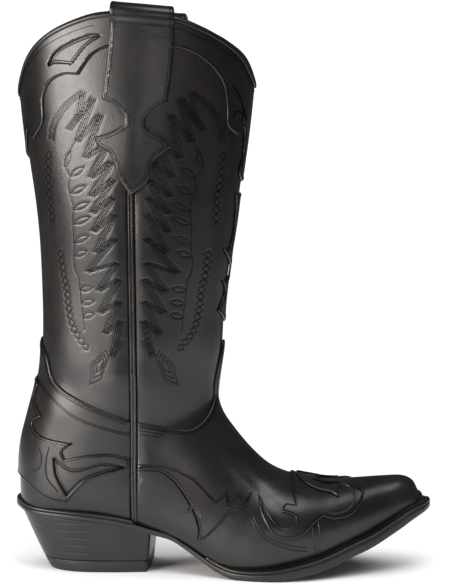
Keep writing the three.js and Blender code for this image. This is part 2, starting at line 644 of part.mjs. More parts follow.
// ---------------------------------------------------------------- pull straps
const STRAP_ORNAMENT = [
  [[14.2, 372], [12.3, 351], [8.7, 326]],
  [[8.7, 326], [17, 321.5], [22.8, 314], [22, 309], [13.5, 304], [3.7, 301]],
  [[3.7, 301], [6, 294.5], [13.8, 289.7], [17.7, 277.7], [26.3, 261.6]],
  [[26.3, 261.6], [37, 272], [41.2, 285.7], [52.5, 294.3]],
  [[52.5, 294.3], [46, 301], [38.1, 305.6], [36.8, 312], [42, 319], [50.1, 323]],
  [[50.1, 323], [53, 343], [55.4, 368]],
];

function strapTopLine(drop) {
  return [STRAP.from, STRAP.to].map((p) => [p.x, p.z - drop]);
}

function loopGeometry(side) {
  const arch = new THREE.Shape();
  arch.absarc(0, 0, STRAP.outer, 0, Math.PI, false);
  arch.absarc(0, 0, STRAP.inner, Math.PI, 0, true);
  const from = STRAP.from.clone();
  const to = STRAP.to.clone();
  from.y *= -side;
  to.y *= -side;
  const along = to.clone().sub(from);
  const options = { depth: along.length(), bevelEnabled: false, curveSegments: 10 };
  const geometry = new THREE.ExtrudeGeometry(arch, options);
  const ahead = along.clone().normalize();
  const up = new THREE.Vector3(0, 0, 1).addScaledVector(ahead, -ahead.z).normalize();
  const across = new THREE.Vector3().crossVectors(up, ahead);
  geometry.applyMatrix4(new THREE.Matrix4().makeBasis(across, up, ahead).setPosition(from));
  return geometry;
}

function addStraps() {
  const [[x0, z0], [x1, z1]] = strapTopLine(STRAP.drop);
  const ornament = drawn(STRAP_ORNAMENT);
  const outsideTab = sideBlock([...ornament, [x1 - STRAP.topShift, z1], [x0 - STRAP.topShift, z0]]);
  const insideFoot = [[x0, STRAP.insideBottom], [x1 - STRAP.insideNarrow, STRAP.insideBottom]];
  const insideTab = sideBlock([...insideFoot, [x1, z1], [x0, z0]]);
  const outside = strapLayer(LAYER.strapOutside).intersect(outsideTab);
  const inside = strapLayer(LAYER.strapInside).intersect(insideTab);
  for (const [name, side] of [['outer', -1], ['inner', 1]]) {
    addPiece(`pull_strap_${name}_front_tab`, outside.intersect(sideHalf(side)), 'overlay');
    addPiece(`pull_strap_${name}_lining_tab`, inside.intersect(sideHalf(side)), 'overlay');
    addPiece(`pull_strap_${name}_loop`, loopGeometry(side), 'overlay');
  }
}

function strapLayer([inside, outside]) {
  return sock(outside, OPEN_RISE).subtract(sock(inside, 2 * OPEN_RISE));
}

addSole();
addHeel();
addBottomInside();
addUpper();
addBindings();
addOverlays();
addStraps();

export default boot;
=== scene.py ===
"""Black cowboy boot: fine leather, stitching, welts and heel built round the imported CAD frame."""
import math

import bmesh
import bpy
import numpy as np
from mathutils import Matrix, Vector
from mathutils.geometry import delaunay_2d_cdt
from mathutils.kdtree import KDTree


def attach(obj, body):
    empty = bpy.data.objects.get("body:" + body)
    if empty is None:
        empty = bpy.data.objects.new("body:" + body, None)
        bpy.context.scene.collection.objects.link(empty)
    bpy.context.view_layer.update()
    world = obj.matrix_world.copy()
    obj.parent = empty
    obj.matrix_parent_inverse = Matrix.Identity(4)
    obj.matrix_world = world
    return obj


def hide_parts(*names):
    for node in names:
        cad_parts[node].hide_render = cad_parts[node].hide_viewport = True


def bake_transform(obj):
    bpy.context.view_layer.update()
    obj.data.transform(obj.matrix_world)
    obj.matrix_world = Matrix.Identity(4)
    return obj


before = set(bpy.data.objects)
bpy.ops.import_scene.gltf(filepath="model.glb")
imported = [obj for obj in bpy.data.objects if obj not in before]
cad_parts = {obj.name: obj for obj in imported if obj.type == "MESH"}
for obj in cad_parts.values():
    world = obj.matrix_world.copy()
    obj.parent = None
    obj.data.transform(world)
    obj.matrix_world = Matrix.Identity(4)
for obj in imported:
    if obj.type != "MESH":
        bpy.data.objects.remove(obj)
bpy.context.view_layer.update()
MM = 0.001
BODY = "boot"

# ---------------------------------------- sizes, in millimetres
# The last and leg, from the toe tip to above the rim: a point on the front or top line,
# a point on the back or sole line, half width, sideways shift, where the section is widest,
# and the roundness of its front and of its back.
STATIONS = np.array([
    [219.5, 53.0, 221.0, 41.0, 5.0, 6.0, 0.45, 2.0, 2.8],
    [215.8, 60.2, 217.0, 38.0, 9.0, 6.0, 0.42, 2.0, 3.2],
    [208.6, 63.4, 209.0, 33.5, 13.0, 5.8, 0.41, 2.0, 3.4],
    [195.6, 63.0, 194.5, 25.3, 18.8, 5.0, 0.38, 2.0, 3.5],
    [178.0, 61.6, 175.0, 17.0, 27.0, 3.8, 0.36, 2.0, 3.6],
    [160.0, 60.6, 153.0, 8.4, 35.3, 2.2, 0.35, 2.0, 3.6],
    [143.6, 62.4, 131.0, 3.2, 40.3, 0.6, 0.35, 2.0, 3.6],
    [129.3, 66.0, 107.0, 0.1, 40.8, -1.0, 0.36, 1.95, 3.6],
    [116.2, 72.4, 83.0, 3.0, 37.3, -2.0, 0.37, 1.9, 3.6],
    [104.0, 83.2, 58.0, 19.8, 33.3, -2.0, 0.37, 1.9, 3.6],
    [92.9, 96.0, 32.0, 29.5, 31.6, -1.2, 0.39, 1.95, 3.8],
    [84.4, 107.8, 2.0, 35.8, 31.6, -0.5, 0.42, 2.0, 4.2],
    [80.7, 118.0, -30.0, 38.0, 32.0, 0.0, 0.43, 2.05, 4.2],
    [80.9, 126.4, -52.5, 42.5, 32.5, 0.0, 0.44, 2.1, 3.0],
    [81.8, 134.8, -56.2, 68.0, 33.0, 0.0, 0.46, 2.15, 2.5],
    [83.0, 144.0, -54.8, 89.0, 33.6, 0.0, 0.48, 2.2, 2.3],
    [84.2, 154.0, -49.6, 110.0, 34.6, 0.0, 0.49, 2.2, 2.2],
    [85.0, 166.0, -43.8, 132.0, 35.8, 0.0, 0.5, 2.2, 2.2],
    [86.0, 182.0, -41.0, 158.0, 37.2, 0.0, 0.5, 2.2, 2.2],
    [88.0, 203.0, -40.4, 188.0, 38.8, 0.0, 0.5, 2.2, 2.2],
    [91.2, 230.0, -42.0, 222.0, 41.0, 0.0, 0.5, 2.2, 2.2],
    [96.0, 262.0, -45.4, 258.0, 43.0, 0.0, 0.5, 2.25, 2.25],
    [101.2, 298.0, -50.2, 296.0, 44.6, 0.0, 0.5, 2.3, 2.3],
    [105.0, 334.0, -54.0, 334.0, 45.5, 0.0, 0.5, 2.3, 2.3],
    [107.5, 370.0, -55.6, 370.0, 46.0, 0.0, 0.5, 2.3, 2.3],
    [109.0, 405.0, -56.0, 405.0, 46.0, 0.0, 0.5, 2.3, 2.3],
])
LAST_STATION = len(STATIONS) - 1
RIM_STATION = LAST_STATION - 1
RIM_Z = STATIONS[RIM_STATION, 1]
STATION_RISE = STATIONS[LAST_STATION, 1] - RIM_Z
TOE_BULGE = 3.2

# Top and underside of the outsole from the side, its plan, and the rim from the side.
SEAT_LINE = np.array([
    [-64, 47.4], [-57, 46.5], [-44, 43.2], [-12, 41.2], [16, 37.5], [38, 31.6], [51, 28],
    [62, 21.4], [71.5, 15.4], [81, 9.6], [91, 5.8], [101, 4.8], [112, 5], [126, 6.4],
    [142, 9.7], [158, 14], [175, 21], [190, 27.2], [208, 37.4], [219, 43.4], [240, 51],
], dtype=float)
TREAD_LINE = np.array([
    [-64, 44], [-57, 43], [-44, 39.8], [-12, 37.8], [16, 34], [38, 28], [51, 24.4],
    [62, 17.8], [71.5, 11.6], [81, 5.6], [91, 1.2], [101, 0], [118, 0], [130, 1.1],
    [142, 3.2], [158, 7.2], [175, 14.2], [190, 20.4], [208, 31], [219, 38], [240, 49],
], dtype=float)
SOLE_OUTLINE = [
    [-60.5, 0], [-57, -14], [-45, -26], [-22, -32], [6, -32.8], [32, -31.5], [58, -32],
    [80, -37.5], [100, -43.5], [122, -46.3], [144, -43.5], [162, -37], [180, -29], [198, -21],
    [214, -13.5], [225.5, -5], [229.5, 6], [225, 17], [213, 25.5], [198, 31.5], [180, 37],
    [160, 41.5], [140, 44], [118, 44.5], [98, 40.5], [80, 34.5], [58, 29.5], [32, 29.5],
    [6, 32], [-22, 32], [-45, 26], [-57, 14],
]
TOP_LINE = [
    [-55, 326], [-51, 338.5], [-43, 356], [-28, 369.5], [-4, 379.5], [14.5, 382.4], [36, 382.8],
    [56, 379.2], [70, 374], [84, 366.5], [97, 355.5], [104, 340], [107, 328],
]
SEAM_X = 26.0  # side seam, upright up to SEAM_LEAN_Z
SEAM_LEAN_Z = 262.0
SEAM_LEAN = 0.074
SEAM_HALF = 2.3
GAP = 0.3  # left between pieces that touch

# Layers of leather, as offsets outwards from the last.
LINING_LAYER = (-3.2, -2.2)
SHAFT_LAYER = (-1.6, 0.0)
FOOT_LAYER = (0.3, 1.7)
SHAFT_OVERLAY_LAYER = (0.3, 1.5)
FOOT_OVERLAY_LAYER = (2.0, 3.2)
STRAP_LAYER = (2.1, 3.6)
LEAF_LAYER = (3.25, 4.3)
WELT_CLEAR = 2.0
EDGE_RADIUS = 0.55
STRAP_EDGE = 0.5
LINING_EDGE = 0.2
EDGE_DEPTH = 0.6  # most that a rounded edge takes off the thickness
CELL = 1.2  # spacing of the fine surface grid
PANEL_STEP = 0.67  # mesh spacings, in cells
STRAP_STEP = 0.8
LINING_STEP = 3
STEP = 1e-3  # small change of station or angle, for slopes
ON_LINE = 0.012  # angle within which a point counts as on the front or back line
RIM_FROM = 20.0  # station under the whole rim
TOE_FROM = 1.2  # station where the lower edge turns round the toe
HEEL_TO = 14.2  # station past the end of the lower edge at the heel
SEAT_SPAN = 75  # degrees from which the lower edge is looked for

# Worn relief of the leather: heights, widths and rises.
HOLLOW = {"depth": 2.6, "width": 6.5, "from_z": 60, "grows_over": 40, "least": 0.2}
RIDGE = {"rise": 4.6, "band_rise": 1.6, "flat": 4, "band_flat": 16, "fade": 22, "from_z": 80,
         "grows_over": 60}
STRAP_FOOT_Z = 270
STRAP_NECK_Z = 322
ANKLE_FOLDS = {"rise": 0.55, "z": 128, "reach": 26, "period": 7.5, "slant": 0.45, "turn": 1.2}
SHIN_SLACK = {"rise": 0.5, "z": 215, "reach": 70, "period_z": 21, "period_x": 33, "turn": 2}
TOE_CREASE = {"depth": 0.7, "x": 112, "z": 60, "width": 5, "reach": 22, "slant": 0.9}


# ---------------------------------------- curves
def unit(vectors):
    return vectors / np.maximum(np.linalg.norm(vectors, axis=-1, keepdims=True), 1e-9)


def arc_length(points):
    """Distance along a path, at each of its points."""
    return np.concatenate([[0], np.cumsum(np.linalg.norm(np.diff(points, axis=0), axis=1))])


def along(points, s, t):
    """Points of a path at distances t, where s is the distance at each of its own points."""
    return np.stack([np.interp(t, s, column) for column in points.T], -1)


def tangents(points, closed=False):
    if closed:
        return unit(np.roll(points, -1, axis=0) - np.roll(points, 1, axis=0))
    return unit(np.gradient(points, axis=0))


def leftward(directions):
    return np.stack([-directions[:, 1], directions[:, 0]], -1)


def catmull(points, steps, closed=False):
    """Smooth curve through 2-D or 3-D points."""
    pts = np.array(points, dtype=float)
    if closed:
        pts = np.vstack([pts[-1], pts, pts[0], pts[1]])
    else:
        pts = np.vstack([2 * pts[0] - pts[1], pts, 2 * pts[-1] - pts[-2]])
    t = np.linspace(0, 1, steps, endpoint=False)[:, None]
    parts = []
    for p0, p1, p2, p3 in zip(pts[:-3], pts[1:-2], pts[2:-1], pts[3:]):
        cubic = (3 * p1 - p0 - 3 * p2 + p3) * t ** 3
        parts.append(0.5 * (2 * p1 + (p2 - p0) * t + (2 * p0 - 5 * p1 + 4 * p2 - p3) * t ** 2 + cubic))
    if not closed:
        parts.append(pts[-2][None])
    return np.vstack(parts)


def drawn(stretches, steps=8):
    """Side-view outline made of smooth stretches that meet at corners."""
    parts = [catmull(s, steps if len(s) > 2 else 1)[:-1] for s in stretches]
    parts.append(np.array([stretches[-1][-1]], dtype=float))
    return np.vstack(parts)


def height_function(line, steps):
    curve = catmull(line, steps)
    return lambda x: np.interp(x, curve[:, 0], curve[:, 1])


top_height = height_function(TOP_LINE, 6)
seat_height = height_function(SEAT_LINE, 5)
tread_height = height_function(TREAD_LINE, 5)


def seam_x(z):
    return SEAM_X + np.maximum(0, np.asarray(z, float) - SEAM_LEAN_Z) * SEAM_LEAN


RIM_TOP = float(top_height(float(seam_x(380))))  # where the side seam meets the rim


# ---------------------------------------- the last surface
def station(v):
    """Section values at a station number, smooth between the stations."""
    v = np.clip(np.asarray(v, float), 0, LAST_STATION - 1e-9)
    i = np.floor(v).astype(int)
    u = (v - i)[..., None]
    p1 = STATIONS[i]
    p2 = STATIONS[i + 1]
    p0 = np.where((i == 0)[..., None], 2 * p1 - p2, STATIONS[np.maximum(i - 1, 0)])
    p3 = STATIONS[np.minimum(i + 2, LAST_STATION)]
    p3 = np.where((i == LAST_STATION - 1)[..., None], 2 * p2 - p1, p3)
    cubic = (3 * p1 - p0 - 3 * p2 + p3) * u ** 3
    return 0.5 * (2 * p1 + (p2 - p0) * u + (2 * p0 - 5 * p1 + 4 * p2 - p3) * u * u + cubic)


def bump(x, centre, width):
    return np.exp(-((x - centre) / width) ** 2)


def rising(z, middle, width):
    return 1 / (1 + np.exp(-(z - middle) / width))


def relief(x, z, phi):
    """How far the worn leather stands off the last: hollows by the side welt and soft creases."""
    lateral = np.abs(np.sin(phi))
    from_seam = x - seam_x(z)
    banded = rising(z, STRAP_NECK_Z, 6)
    shaft = np.clip((z - RIDGE["from_z"]) / RIDGE["grows_over"], 0, 1)
    grown = np.clip((z - HOLLOW["from_z"]) / HOLLOW["grows_over"], HOLLOW["least"], 1)
    fade_in = (1 - rising(z, STRAP_FOOT_Z, 5)) * grown
    hollow = -HOLLOW["depth"] * bump(from_seam, 0, HOLLOW["width"]) * fade_in
    flat = RIDGE["flat"] + RIDGE["band_flat"] * banded
    rise = RIDGE["rise"] + RIDGE["band_rise"] * banded
    ridge = rise * np.exp(-np.sqrt(from_seam ** 2 + flat ** 2) / RIDGE["fade"]) * lateral ** 2 * shaft
    slanted = z + ANKLE_FOLDS["slant"] * x
    wave = np.sin(slanted / ANKLE_FOLDS["period"] + ANKLE_FOLDS["turn"] * np.sin(phi))
    fold = ANKLE_FOLDS["rise"] * wave * bump(z, ANKLE_FOLDS["z"], ANKLE_FOLDS["reach"]) * lateral
    slanted = z / SHIN_SLACK["period_z"] + x / SHIN_SLACK["period_x"]
    wave = np.sin(slanted + SHIN_SLACK["turn"] * np.sin(phi))
    slack = SHIN_SLACK["rise"] * wave * bump(z, SHIN_SLACK["z"], SHIN_SLACK["reach"])
    ahead = x - TOE_CREASE["x"]
    line = bump((z - TOE_CREASE["z"]) + TOE_CREASE["slant"] * ahead, 0, TOE_CREASE["width"])
    crease = -TOE_CREASE["depth"] * line * bump(ahead, 0, TOE_CREASE["reach"]) * np.clip(np.cos(phi), 0, 1)
    return hollow + ridge + fold + slack + crease


def skin(v, phi, off=0.0):
    """Points of the surface: phi is 0 on the front line, 90 degrees outside, 180 behind."""
    v, phi, off = np.broadcast_arrays(np.asarray(v, float), np.asarray(phi, float), np.asarray(off, float))
    c = station(v)
    front, rear = c[..., 0:2], c[..., 2:4]
    half, shift, widest, n_front, n_rear = (c[..., k] for k in range(4, 9))
    axis = front - rear
    length = np.linalg.norm(axis, axis=-1)
    axis = axis / length[..., None]
    cos, sin = np.cos(phi), np.sin(phi)
    power = 2 / np.where(cos >= 0, n_front, n_rear)
    reach = np.where(cos >= 0, (1 - widest) * length, widest * length)
    base_along = np.sign(cos) * np.abs(cos) ** power
    base_across = np.sign(sin) * np.abs(sin) ** power
    x0 = rear[..., 0] + axis[..., 0] * (widest * length + base_along * reach)
    z0 = rear[..., 1] + axis[..., 1] * (widest * length + base_along * reach)
    off = off + relief(x0, z0, phi)
    forward = base_along * (reach + off) + widest * length
    across = base_across * np.maximum(half + off, 0.3)
    x = rear[..., 0] + axis[..., 0] * forward + off * np.clip(1 - v / 3, 0, 1)
    z = rear[..., 1] + axis[..., 1] * forward
    s = np.clip(-v, 0, 1) * (math.pi / 2)  # the toe tip closes below station 0
    x = rear[..., 0] + (x - rear[..., 0]) * np.cos(s) + (TOE_BULGE + off) * np.sin(s) * (v < 0)
    z = rear[..., 1] + (z - rear[..., 1]) * np.cos(s)
    return np.stack([x, shift - across * np.cos(s), z], -1)


def slopes(v, phi, off=0.0, place=skin):
    """Steps of the surface along stations and round the angle."""
    return (place(v + STEP, phi, off) - place(v - STEP, phi, off),
            place(v, phi + STEP, off) - place(v, phi - STEP, off))


def normals(v, phi, off=0.0, place=skin):
    return unit(np.cross(*slopes(v, phi, off, place)))


def grid_rows():
    """Stations and their row numbers, so that no row is wider than CELL."""
    v = np.linspace(-1, LAST_STATION, 1301)
    around = np.radians(np.linspace(0, 180, 25)[:19])
    steps = np.linalg.norm(np.diff(skin(v[:, None], around[None, :]), axis=0), axis=-1)
    rows = np.concatenate([[0], np.cumsum(steps.max(axis=1))]) / CELL
    # Past the last station a strap goes on over the rim, at the same rate.
    return np.append(v, LAST_STATION + 4), np.append(rows, rows[-1] + 4 * STATION_RISE / CELL)


# Grid coordinates: whole numbers are the rows and columns of an even grid on the surface.
V_TABLE, ROW_TABLE = grid_rows()
COLUMNS = 240


def to_grid(vp):
    row = np.interp(vp[..., 0], V_TABLE, ROW_TABLE)
    return np.stack([vp[..., 1] * COLUMNS / (2 * math.pi), row], -1)


def from_grid(ij):
    v = np.interp(ij[..., 1], ROW_TABLE, V_TABLE)
    return np.stack([v, ij[..., 0] * (2 * math.pi) / COLUMNS], -1)


FINE_STATIONS = np.linspace(0, LAST_STATION, 4001)
FINE_SECTIONS = station(FINE_STATIONS)


def surface_at(x, z):
    """Station and angle, on the outer half, of the surface point seen at x, z from the side."""
    front, rear = FINE_SECTIONS[:, 0:2], FINE_SECTIONS[:, 2:4]
    axis = front - rear
    length = np.linalg.norm(axis, axis=1)
    d = (axis[:, 0] * (z - rear[:, 1]) - axis[:, 1] * (x - rear[:, 0])) / length
    t = ((x - rear[:, 0]) * axis[:, 0] + (z - rear[:, 1]) * axis[:, 1]) / length ** 2
    best = (1e9, 0.0, 0.5)
    for k in np.nonzero(np.diff(np.sign(d)))[0]:
        miss = max(0.0, -t[k], t[k] - 1)
        if miss < best[0]:
            f = d[k] / (d[k] - d[k + 1])
            best = (miss, FINE_STATIONS[k] + f * (FINE_STATIONS[k + 1] - FINE_STATIONS[k]), t[k])
    v, t = best[1], min(1.0, max(0.0, best[2]))
    widest, n_front, n_rear = station(v)[6:9]
    if t >= widest:
        return v, math.acos(min(1.0, ((t - widest) / (1 - widest)) ** (n_front / 2)))
    return v, math.pi - math.acos(min(1.0, ((widest - t) / widest) ** (n_rear / 2)))


def on_surface(outline):
    return np.array([surface_at(x, z) for x, z in outline])


def bisected(low, high, rounds, too_low):
    """Closes in on where a test turns, for many spans at once."""
    for _ in range(rounds):
        mid = (low + high) / 2
        under = too_low(mid)
        low = np.where(under, mid, low)
        high = np.where(under, high, mid)
    return low, high


def over_seat(v, phi, off=1.0):
    """Whether surface points lie above the top of the sole."""
    p = skin(v, phi, off)
    return p[..., 2] > seat_height(p[..., 0]) + GAP


def rim_station(phi, drop=0.0):
    phi = np.atleast_1d(np.asarray(phi, float))

    def under(v):
        p = skin(v, phi)
        return p[..., 2] < top_height(p[..., 0]) - drop
    return bisected(np.full(phi.shape, RIM_FROM), np.full(phi.shape, float(LAST_STATION)), 34, under)[0]


def seat_angle(v):
    """Angle where the ring meets the top of the sole."""
    low = np.full(v.shape, math.radians(SEAT_SPAN))
    return bisected(low, np.full(v.shape, math.pi), 40, lambda phi: over_seat(v, phi))[0]


# ---------------------------------------- mesh helpers
def new_object(name, verts, faces, material, body=BODY, turn_out=True):
    mesh = bpy.data.meshes.new(name)
    mesh.from_pydata(np.asarray(verts, float) * MM, [], faces)
    mesh.validate()
    mesh.polygons.foreach_set("use_smooth", np.ones(len(mesh.polygons), dtype=bool))
    mesh.materials.append(material)
    if turn_out:
        bm = bmesh.new()
        bm.from_mesh(mesh)
        bmesh.ops.recalc_face_normals(bm, faces=bm.faces)
        bm.to_mesh(mesh)
        bm.free()
    obj = bpy.data.objects.new(name, mesh)
    bpy.context.collection.objects.link(obj)
    if body is not None:
        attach(obj, body)
    return obj


def stand_in(obj, slot, *nodes):
    """Hides the CAD nodes that a piece takes the place of; its slot is not used."""
    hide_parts(*nodes)


def inside(points, loop):
    """Even-odd test of many points against one closed loop."""
    x, y = points[:, 0], points[:, 1]
    result = np.zeros(len(points), dtype=bool)
    for (x0, y0), (x1, y1) in zip(loop, np.roll(loop, -1, axis=0)):
        if y0 != y1:
            result ^= ((y0 > y) != (y1 > y)) & (x < (x1 - x0) * (y - y0) / (y1 - y0) + x0)
    return result


def nearest(points, asked):
    """Distance from each asked point to the nearest of the points."""
    tree = KDTree(len(points))
    for i, q in enumerate(points):
        tree.insert(q, i)
    tree.balance()
    return np.array([tree.find(q)[2] for q in asked])


def resampled(vp, spacing, closed=True, corner=35):
    """Points along a surface path at about an even spacing in 3-D, with its corners kept."""
    pts = vp if not closed else np.vstack([vp, vp[:1]])
    moved = np.linalg.norm(np.diff(skin(*pts.T), axis=0), axis=1) > 1e-4
    pts = pts[np.concatenate([[True], moved])]
    p = skin(*pts.T)
    seg = unit(np.diff(p, axis=0))
    turn = np.degrees(np.arccos(np.clip((seg[:-1] * seg[1:]).sum(1), -1, 1)))
    corners = [0, *(i + 1 for i in np.nonzero(turn > corner)[0]), len(pts) - 1]
    out = []
    for a, b in zip(corners[:-1], corners[1:]):
        s = arc_length(p[a:b + 1])
        count = max(1, int(round(s[-1] / spacing)))
        out.append(along(pts[a:b + 1], s, np.linspace(0, s[-1], count + 1)[:-1]))
    if not closed:
        out.append(pts[-1:])
    return np.vstack(out)


def shifted(vp, distance, closed=True):
    """The path moved sideways on the surface, to the left of its direction seen from outside."""
    dv, dp = (step / (2 * STEP) for step in slopes(*vp.T))
    target = np.cross(normals(*vp.T), tangents(skin(*vp.T), closed)) * distance
    pairs = ((dv, dv), (dp, dp), (dv, dp), (target, dv), (target, dp))
    aa, bb, ab, ta, tb = ((a * b).sum(1) for a, b in pairs)
    det = np.maximum(aa * bb - ab * ab, 1e-9)
    return vp + np.stack([(ta * bb - tb * ab) / det, (tb * aa - ta * ab) / det], -1)


def turned_left(loop):
    """The loop ordered so that its inside lies to the left seen from outside."""
    p = to_grid(loop)
    q = np.roll(p, -1, axis=0)
    area = (p[:, 0] * q[:, 1] - q[:, 0] * p[:, 1]).sum()
    return loop if area < 0 else loop[::-1]


def triangulated(rings, loose):
    """Triangles over rings (outer first, then holes) and loose points, in grid coordinates."""
    edges = []
    start = 0
    for ring in rings:
        n = len(ring)
        edges += [(start + i, start + (i + 1) % n) for i in range(n)]
        start += n
    result = delaunay_2d_cdt([Vector(p) for p in np.vstack([*rings, loose])], edges, [], 0, 1e-7)
    tris = np.array(result[2], dtype=int)
    centre = np.array([tuple(p) for p in result[0]])[tris].mean(axis=1)
    ok = inside(centre, rings[0])
    for hole in rings[1:]:
        ok &= ~inside(centre, hole)
    source = np.array([o[0] if len(o) else -1 for o in result[3]])
    tris = source[tris[ok]]
    return tris[(tris >= 0).all(axis=1)]


def lattice(rings, clear, step):
    """Points of an even grid between rings, kept clear of their edges."""
    low, high = rings[0].min(axis=0), rings[0].max(axis=0)
    gx, gy = (np.arange(math.ceil(a / step) * step, b, step) for a, b in zip(low, high))
    pts = np.stack(np.meshgrid(gx, gy), -1).reshape(-1, 2)
    ok = inside(pts, rings[0])
    for hole in rings[1:]:
        ok &= ~inside(pts, hole)
    pts = pts[ok]
    flat_edge, flat = (np.column_stack([a, np.zeros(len(a))]) for a in (np.vstack(rings), pts))
    return pts[nearest(flat_edge, flat) > clear]


def filled(rings, step, clear=0.55):
    """Triangles over rings, and the loose grid points that they use."""
    loose = lattice(rings, clear * step, step)
    return triangulated(rings, loose), loose


def band(first, second):
    """Quads between two rings of point numbers."""
    return [(*pair, *back[::-1]) for pair, back in zip(zip(first, np.roll(first, -1)),
                                                       zip(second, np.roll(second, -1)))]


def shell_piece(name, loops, layer, material, step=1, dents=None, body=BODY, edge=EDGE_RADIUS, place=skin):
    """A closed sheet of leather on the last between two offsets, with softened edges."""
    low, high = layer
    outer = [turned_left(resampled(loops[0], CELL))]
    outer += [turned_left(resampled(loop, CELL))[::-1] for loop in loops[1:]]
    inner = [shifted(ring, edge) for ring in outer]
    top_tris, loose = filled([to_grid(ring) for ring in inner], step)
    foot_tris, foot_loose = filled([to_grid(ring) for ring in outer], 4 * step)
    top = np.vstack([*inner, from_grid(loose)])
    top_off = np.full(len(top), float(high))
    if dents is not None:
        top_off = top_off - dents(skin(*top.T, high))
    rim = np.vstack(outer)
    foot = np.vstack([rim, from_grid(foot_loose)])
    sides = ((top, top_off), (rim, high - min(0.4 * (high - low), EDGE_DEPTH)), (foot, low))
    verts = np.vstack([place(*vp.T, off) for vp, off in sides])
    edge_start = len(top)
    foot_start = edge_start + len(rim)
    faces = [tuple(t) for t in top_tris]
    start = 0
    for ring in outer:
        numbers = np.arange(start, start + len(ring))
        faces += band(edge_start + numbers, numbers)
        faces += band(foot_start + numbers, edge_start + numbers)
        start += len(ring)
    faces += [tuple(foot_start + t[::-1]) for t in foot_tris]
    return new_object(name, verts, faces, material, body)


def swept(name, rows, material):
    """A closed solid from rows of profile points, each row a loop round the strip."""
    rows = np.asarray(rows, float)
    return new_object(name, rows.reshape(-1, 3), swept_faces(*rows.shape[:2]), material)


def swept_faces(count, ring, base=0):
    numbers = base + np.arange(count * ring).reshape(count, ring)
    faces = [tuple(numbers[0]), tuple(numbers[-1])]
    for first, second in zip(numbers[:-1], numbers[1:]):
        faces += band(first, second)
    return faces


# ---------------------------------------- materials
def node(tree, kind, at, **values):
    n = tree.nodes.new(kind)
    n.location = at
    for key, value in values.items():
        n.inputs[key].default_value = value
    return n


def noise(tree, source, scale, detail, at, rough=0.5):
    n = node(tree, "ShaderNodeTexNoise", at, Scale=scale, Detail=detail, Roughness=rough)
    tree.links.new(source, n.inputs["Vector"])
    return n.outputs["Fac"]


def remap(tree, value, low, high, at, to_low=0.0, to_high=1.0):
    n = node(tree, "ShaderNodeMapRange", at)
    for key, number in (("From Min", low), ("From Max", high), ("To Min", to_low), ("To Max", to_high)):
        n.inputs[key].default_value = number
    tree.links.new(value, n.inputs["Value"])
    return n.outputs["Result"]


def mixed(tree, factor, a, b, at):
    n = node(tree, "ShaderNodeMix", at)
    n.data_type = "RGBA"
    tree.links.new(factor, n.inputs[0])
    for socket, value in ((n.inputs[6], a), (n.inputs[7], b)):
        if hasattr(value, "is_output"):
            tree.links.new(value, socket)
        else:
            socket.default_value = (*value, 1)
    return n.outputs[2]


def bumped(tree, height, distance, at, before=None):
    n = node(tree, "ShaderNodeBump", at, Strength=1.0, Distance=distance)
    tree.links.new(height, n.inputs["Height"])
    if before is not None:
        tree.links.new(before, n.inputs["Normal"])
    return n.outputs["Normal"]


def new_material(name):
    mat = bpy.data.materials.new(name)
    mat.use_nodes = True
    tree = mat.node_tree
    coords = node(tree, "ShaderNodeTexCoord", (-1400, 0)).outputs["Object"]
    return mat, tree, tree.nodes["Principled BSDF"], coords


def leather(name, dark, light, rough, grain_mm=1.0, grain_depth=0.00004):
    """Leather with fine pores, soft creases, uneven polish and paler rubbed places."""
    mat, tree, shader, coords = new_material(name)
    cloudy = noise(tree, coords, 28, 4, (-1100, 300))
    scuffed = noise(tree, coords, 160, 6, (-1100, 80), 0.65)
    tone = mixed(tree, remap(tree, cloudy, 0.35, 0.7, (-850, 300)), dark, light, (-600, 300))
    worn = tuple(min(1, 2.2 * c + 0.012) for c in light)
    scuff = remap(tree, scuffed, 0.62, 0.78, (-850, 80), 0, 0.2)
    tree.links.new(mixed(tree, scuff, tone, worn, (-380, 260)), shader.inputs["Base Color"])
    polish = remap(tree, scuffed, 0.3, 0.7, (-850, -120), rough - 0.03, rough + 0.04)
    tree.links.new(polish, shader.inputs["Roughness"])
    pores = node(tree, "ShaderNodeTexVoronoi", (-1100, -320), Scale=1000 / grain_mm, Randomness=1.0)
    tree.links.new(coords, pores.inputs["Vector"])
    fine = bumped(tree, pores.outputs["Distance"], grain_depth, (-600, -320))
    creases = noise(tree, coords, 75, 5, (-1100, -560), 0.55)
    tree.links.new(bumped(tree, creases, 0.00012, (-380, -420), fine), shader.inputs["Normal"])
    return mat


def plain(name, dark, light, rough, scale=200, depth=0.0001, metallic=0.0):
    """A matt material with speckled tone and a slightly rough face."""
    mat, tree, shader, coords = new_material(name)
    speckle = noise(tree, coords, scale, 5, (-1100, 200), 0.6)
    tone = mixed(tree, remap(tree, speckle, 0.35, 0.7, (-850, 200)), dark, light, (-600, 200))
    tree.links.new(tone, shader.inputs["Base Color"])
    gloss = remap(tree, speckle, 0.3, 0.7, (-850, -80), rough - 0.05, rough + 0.08)
    tree.links.new(gloss, shader.inputs["Roughness"])
    tree.links.new(bumped(tree, speckle, depth, (-380, -200)), shader.inputs["Normal"])
    shader.inputs["Metallic"].default_value = metallic
    return mat


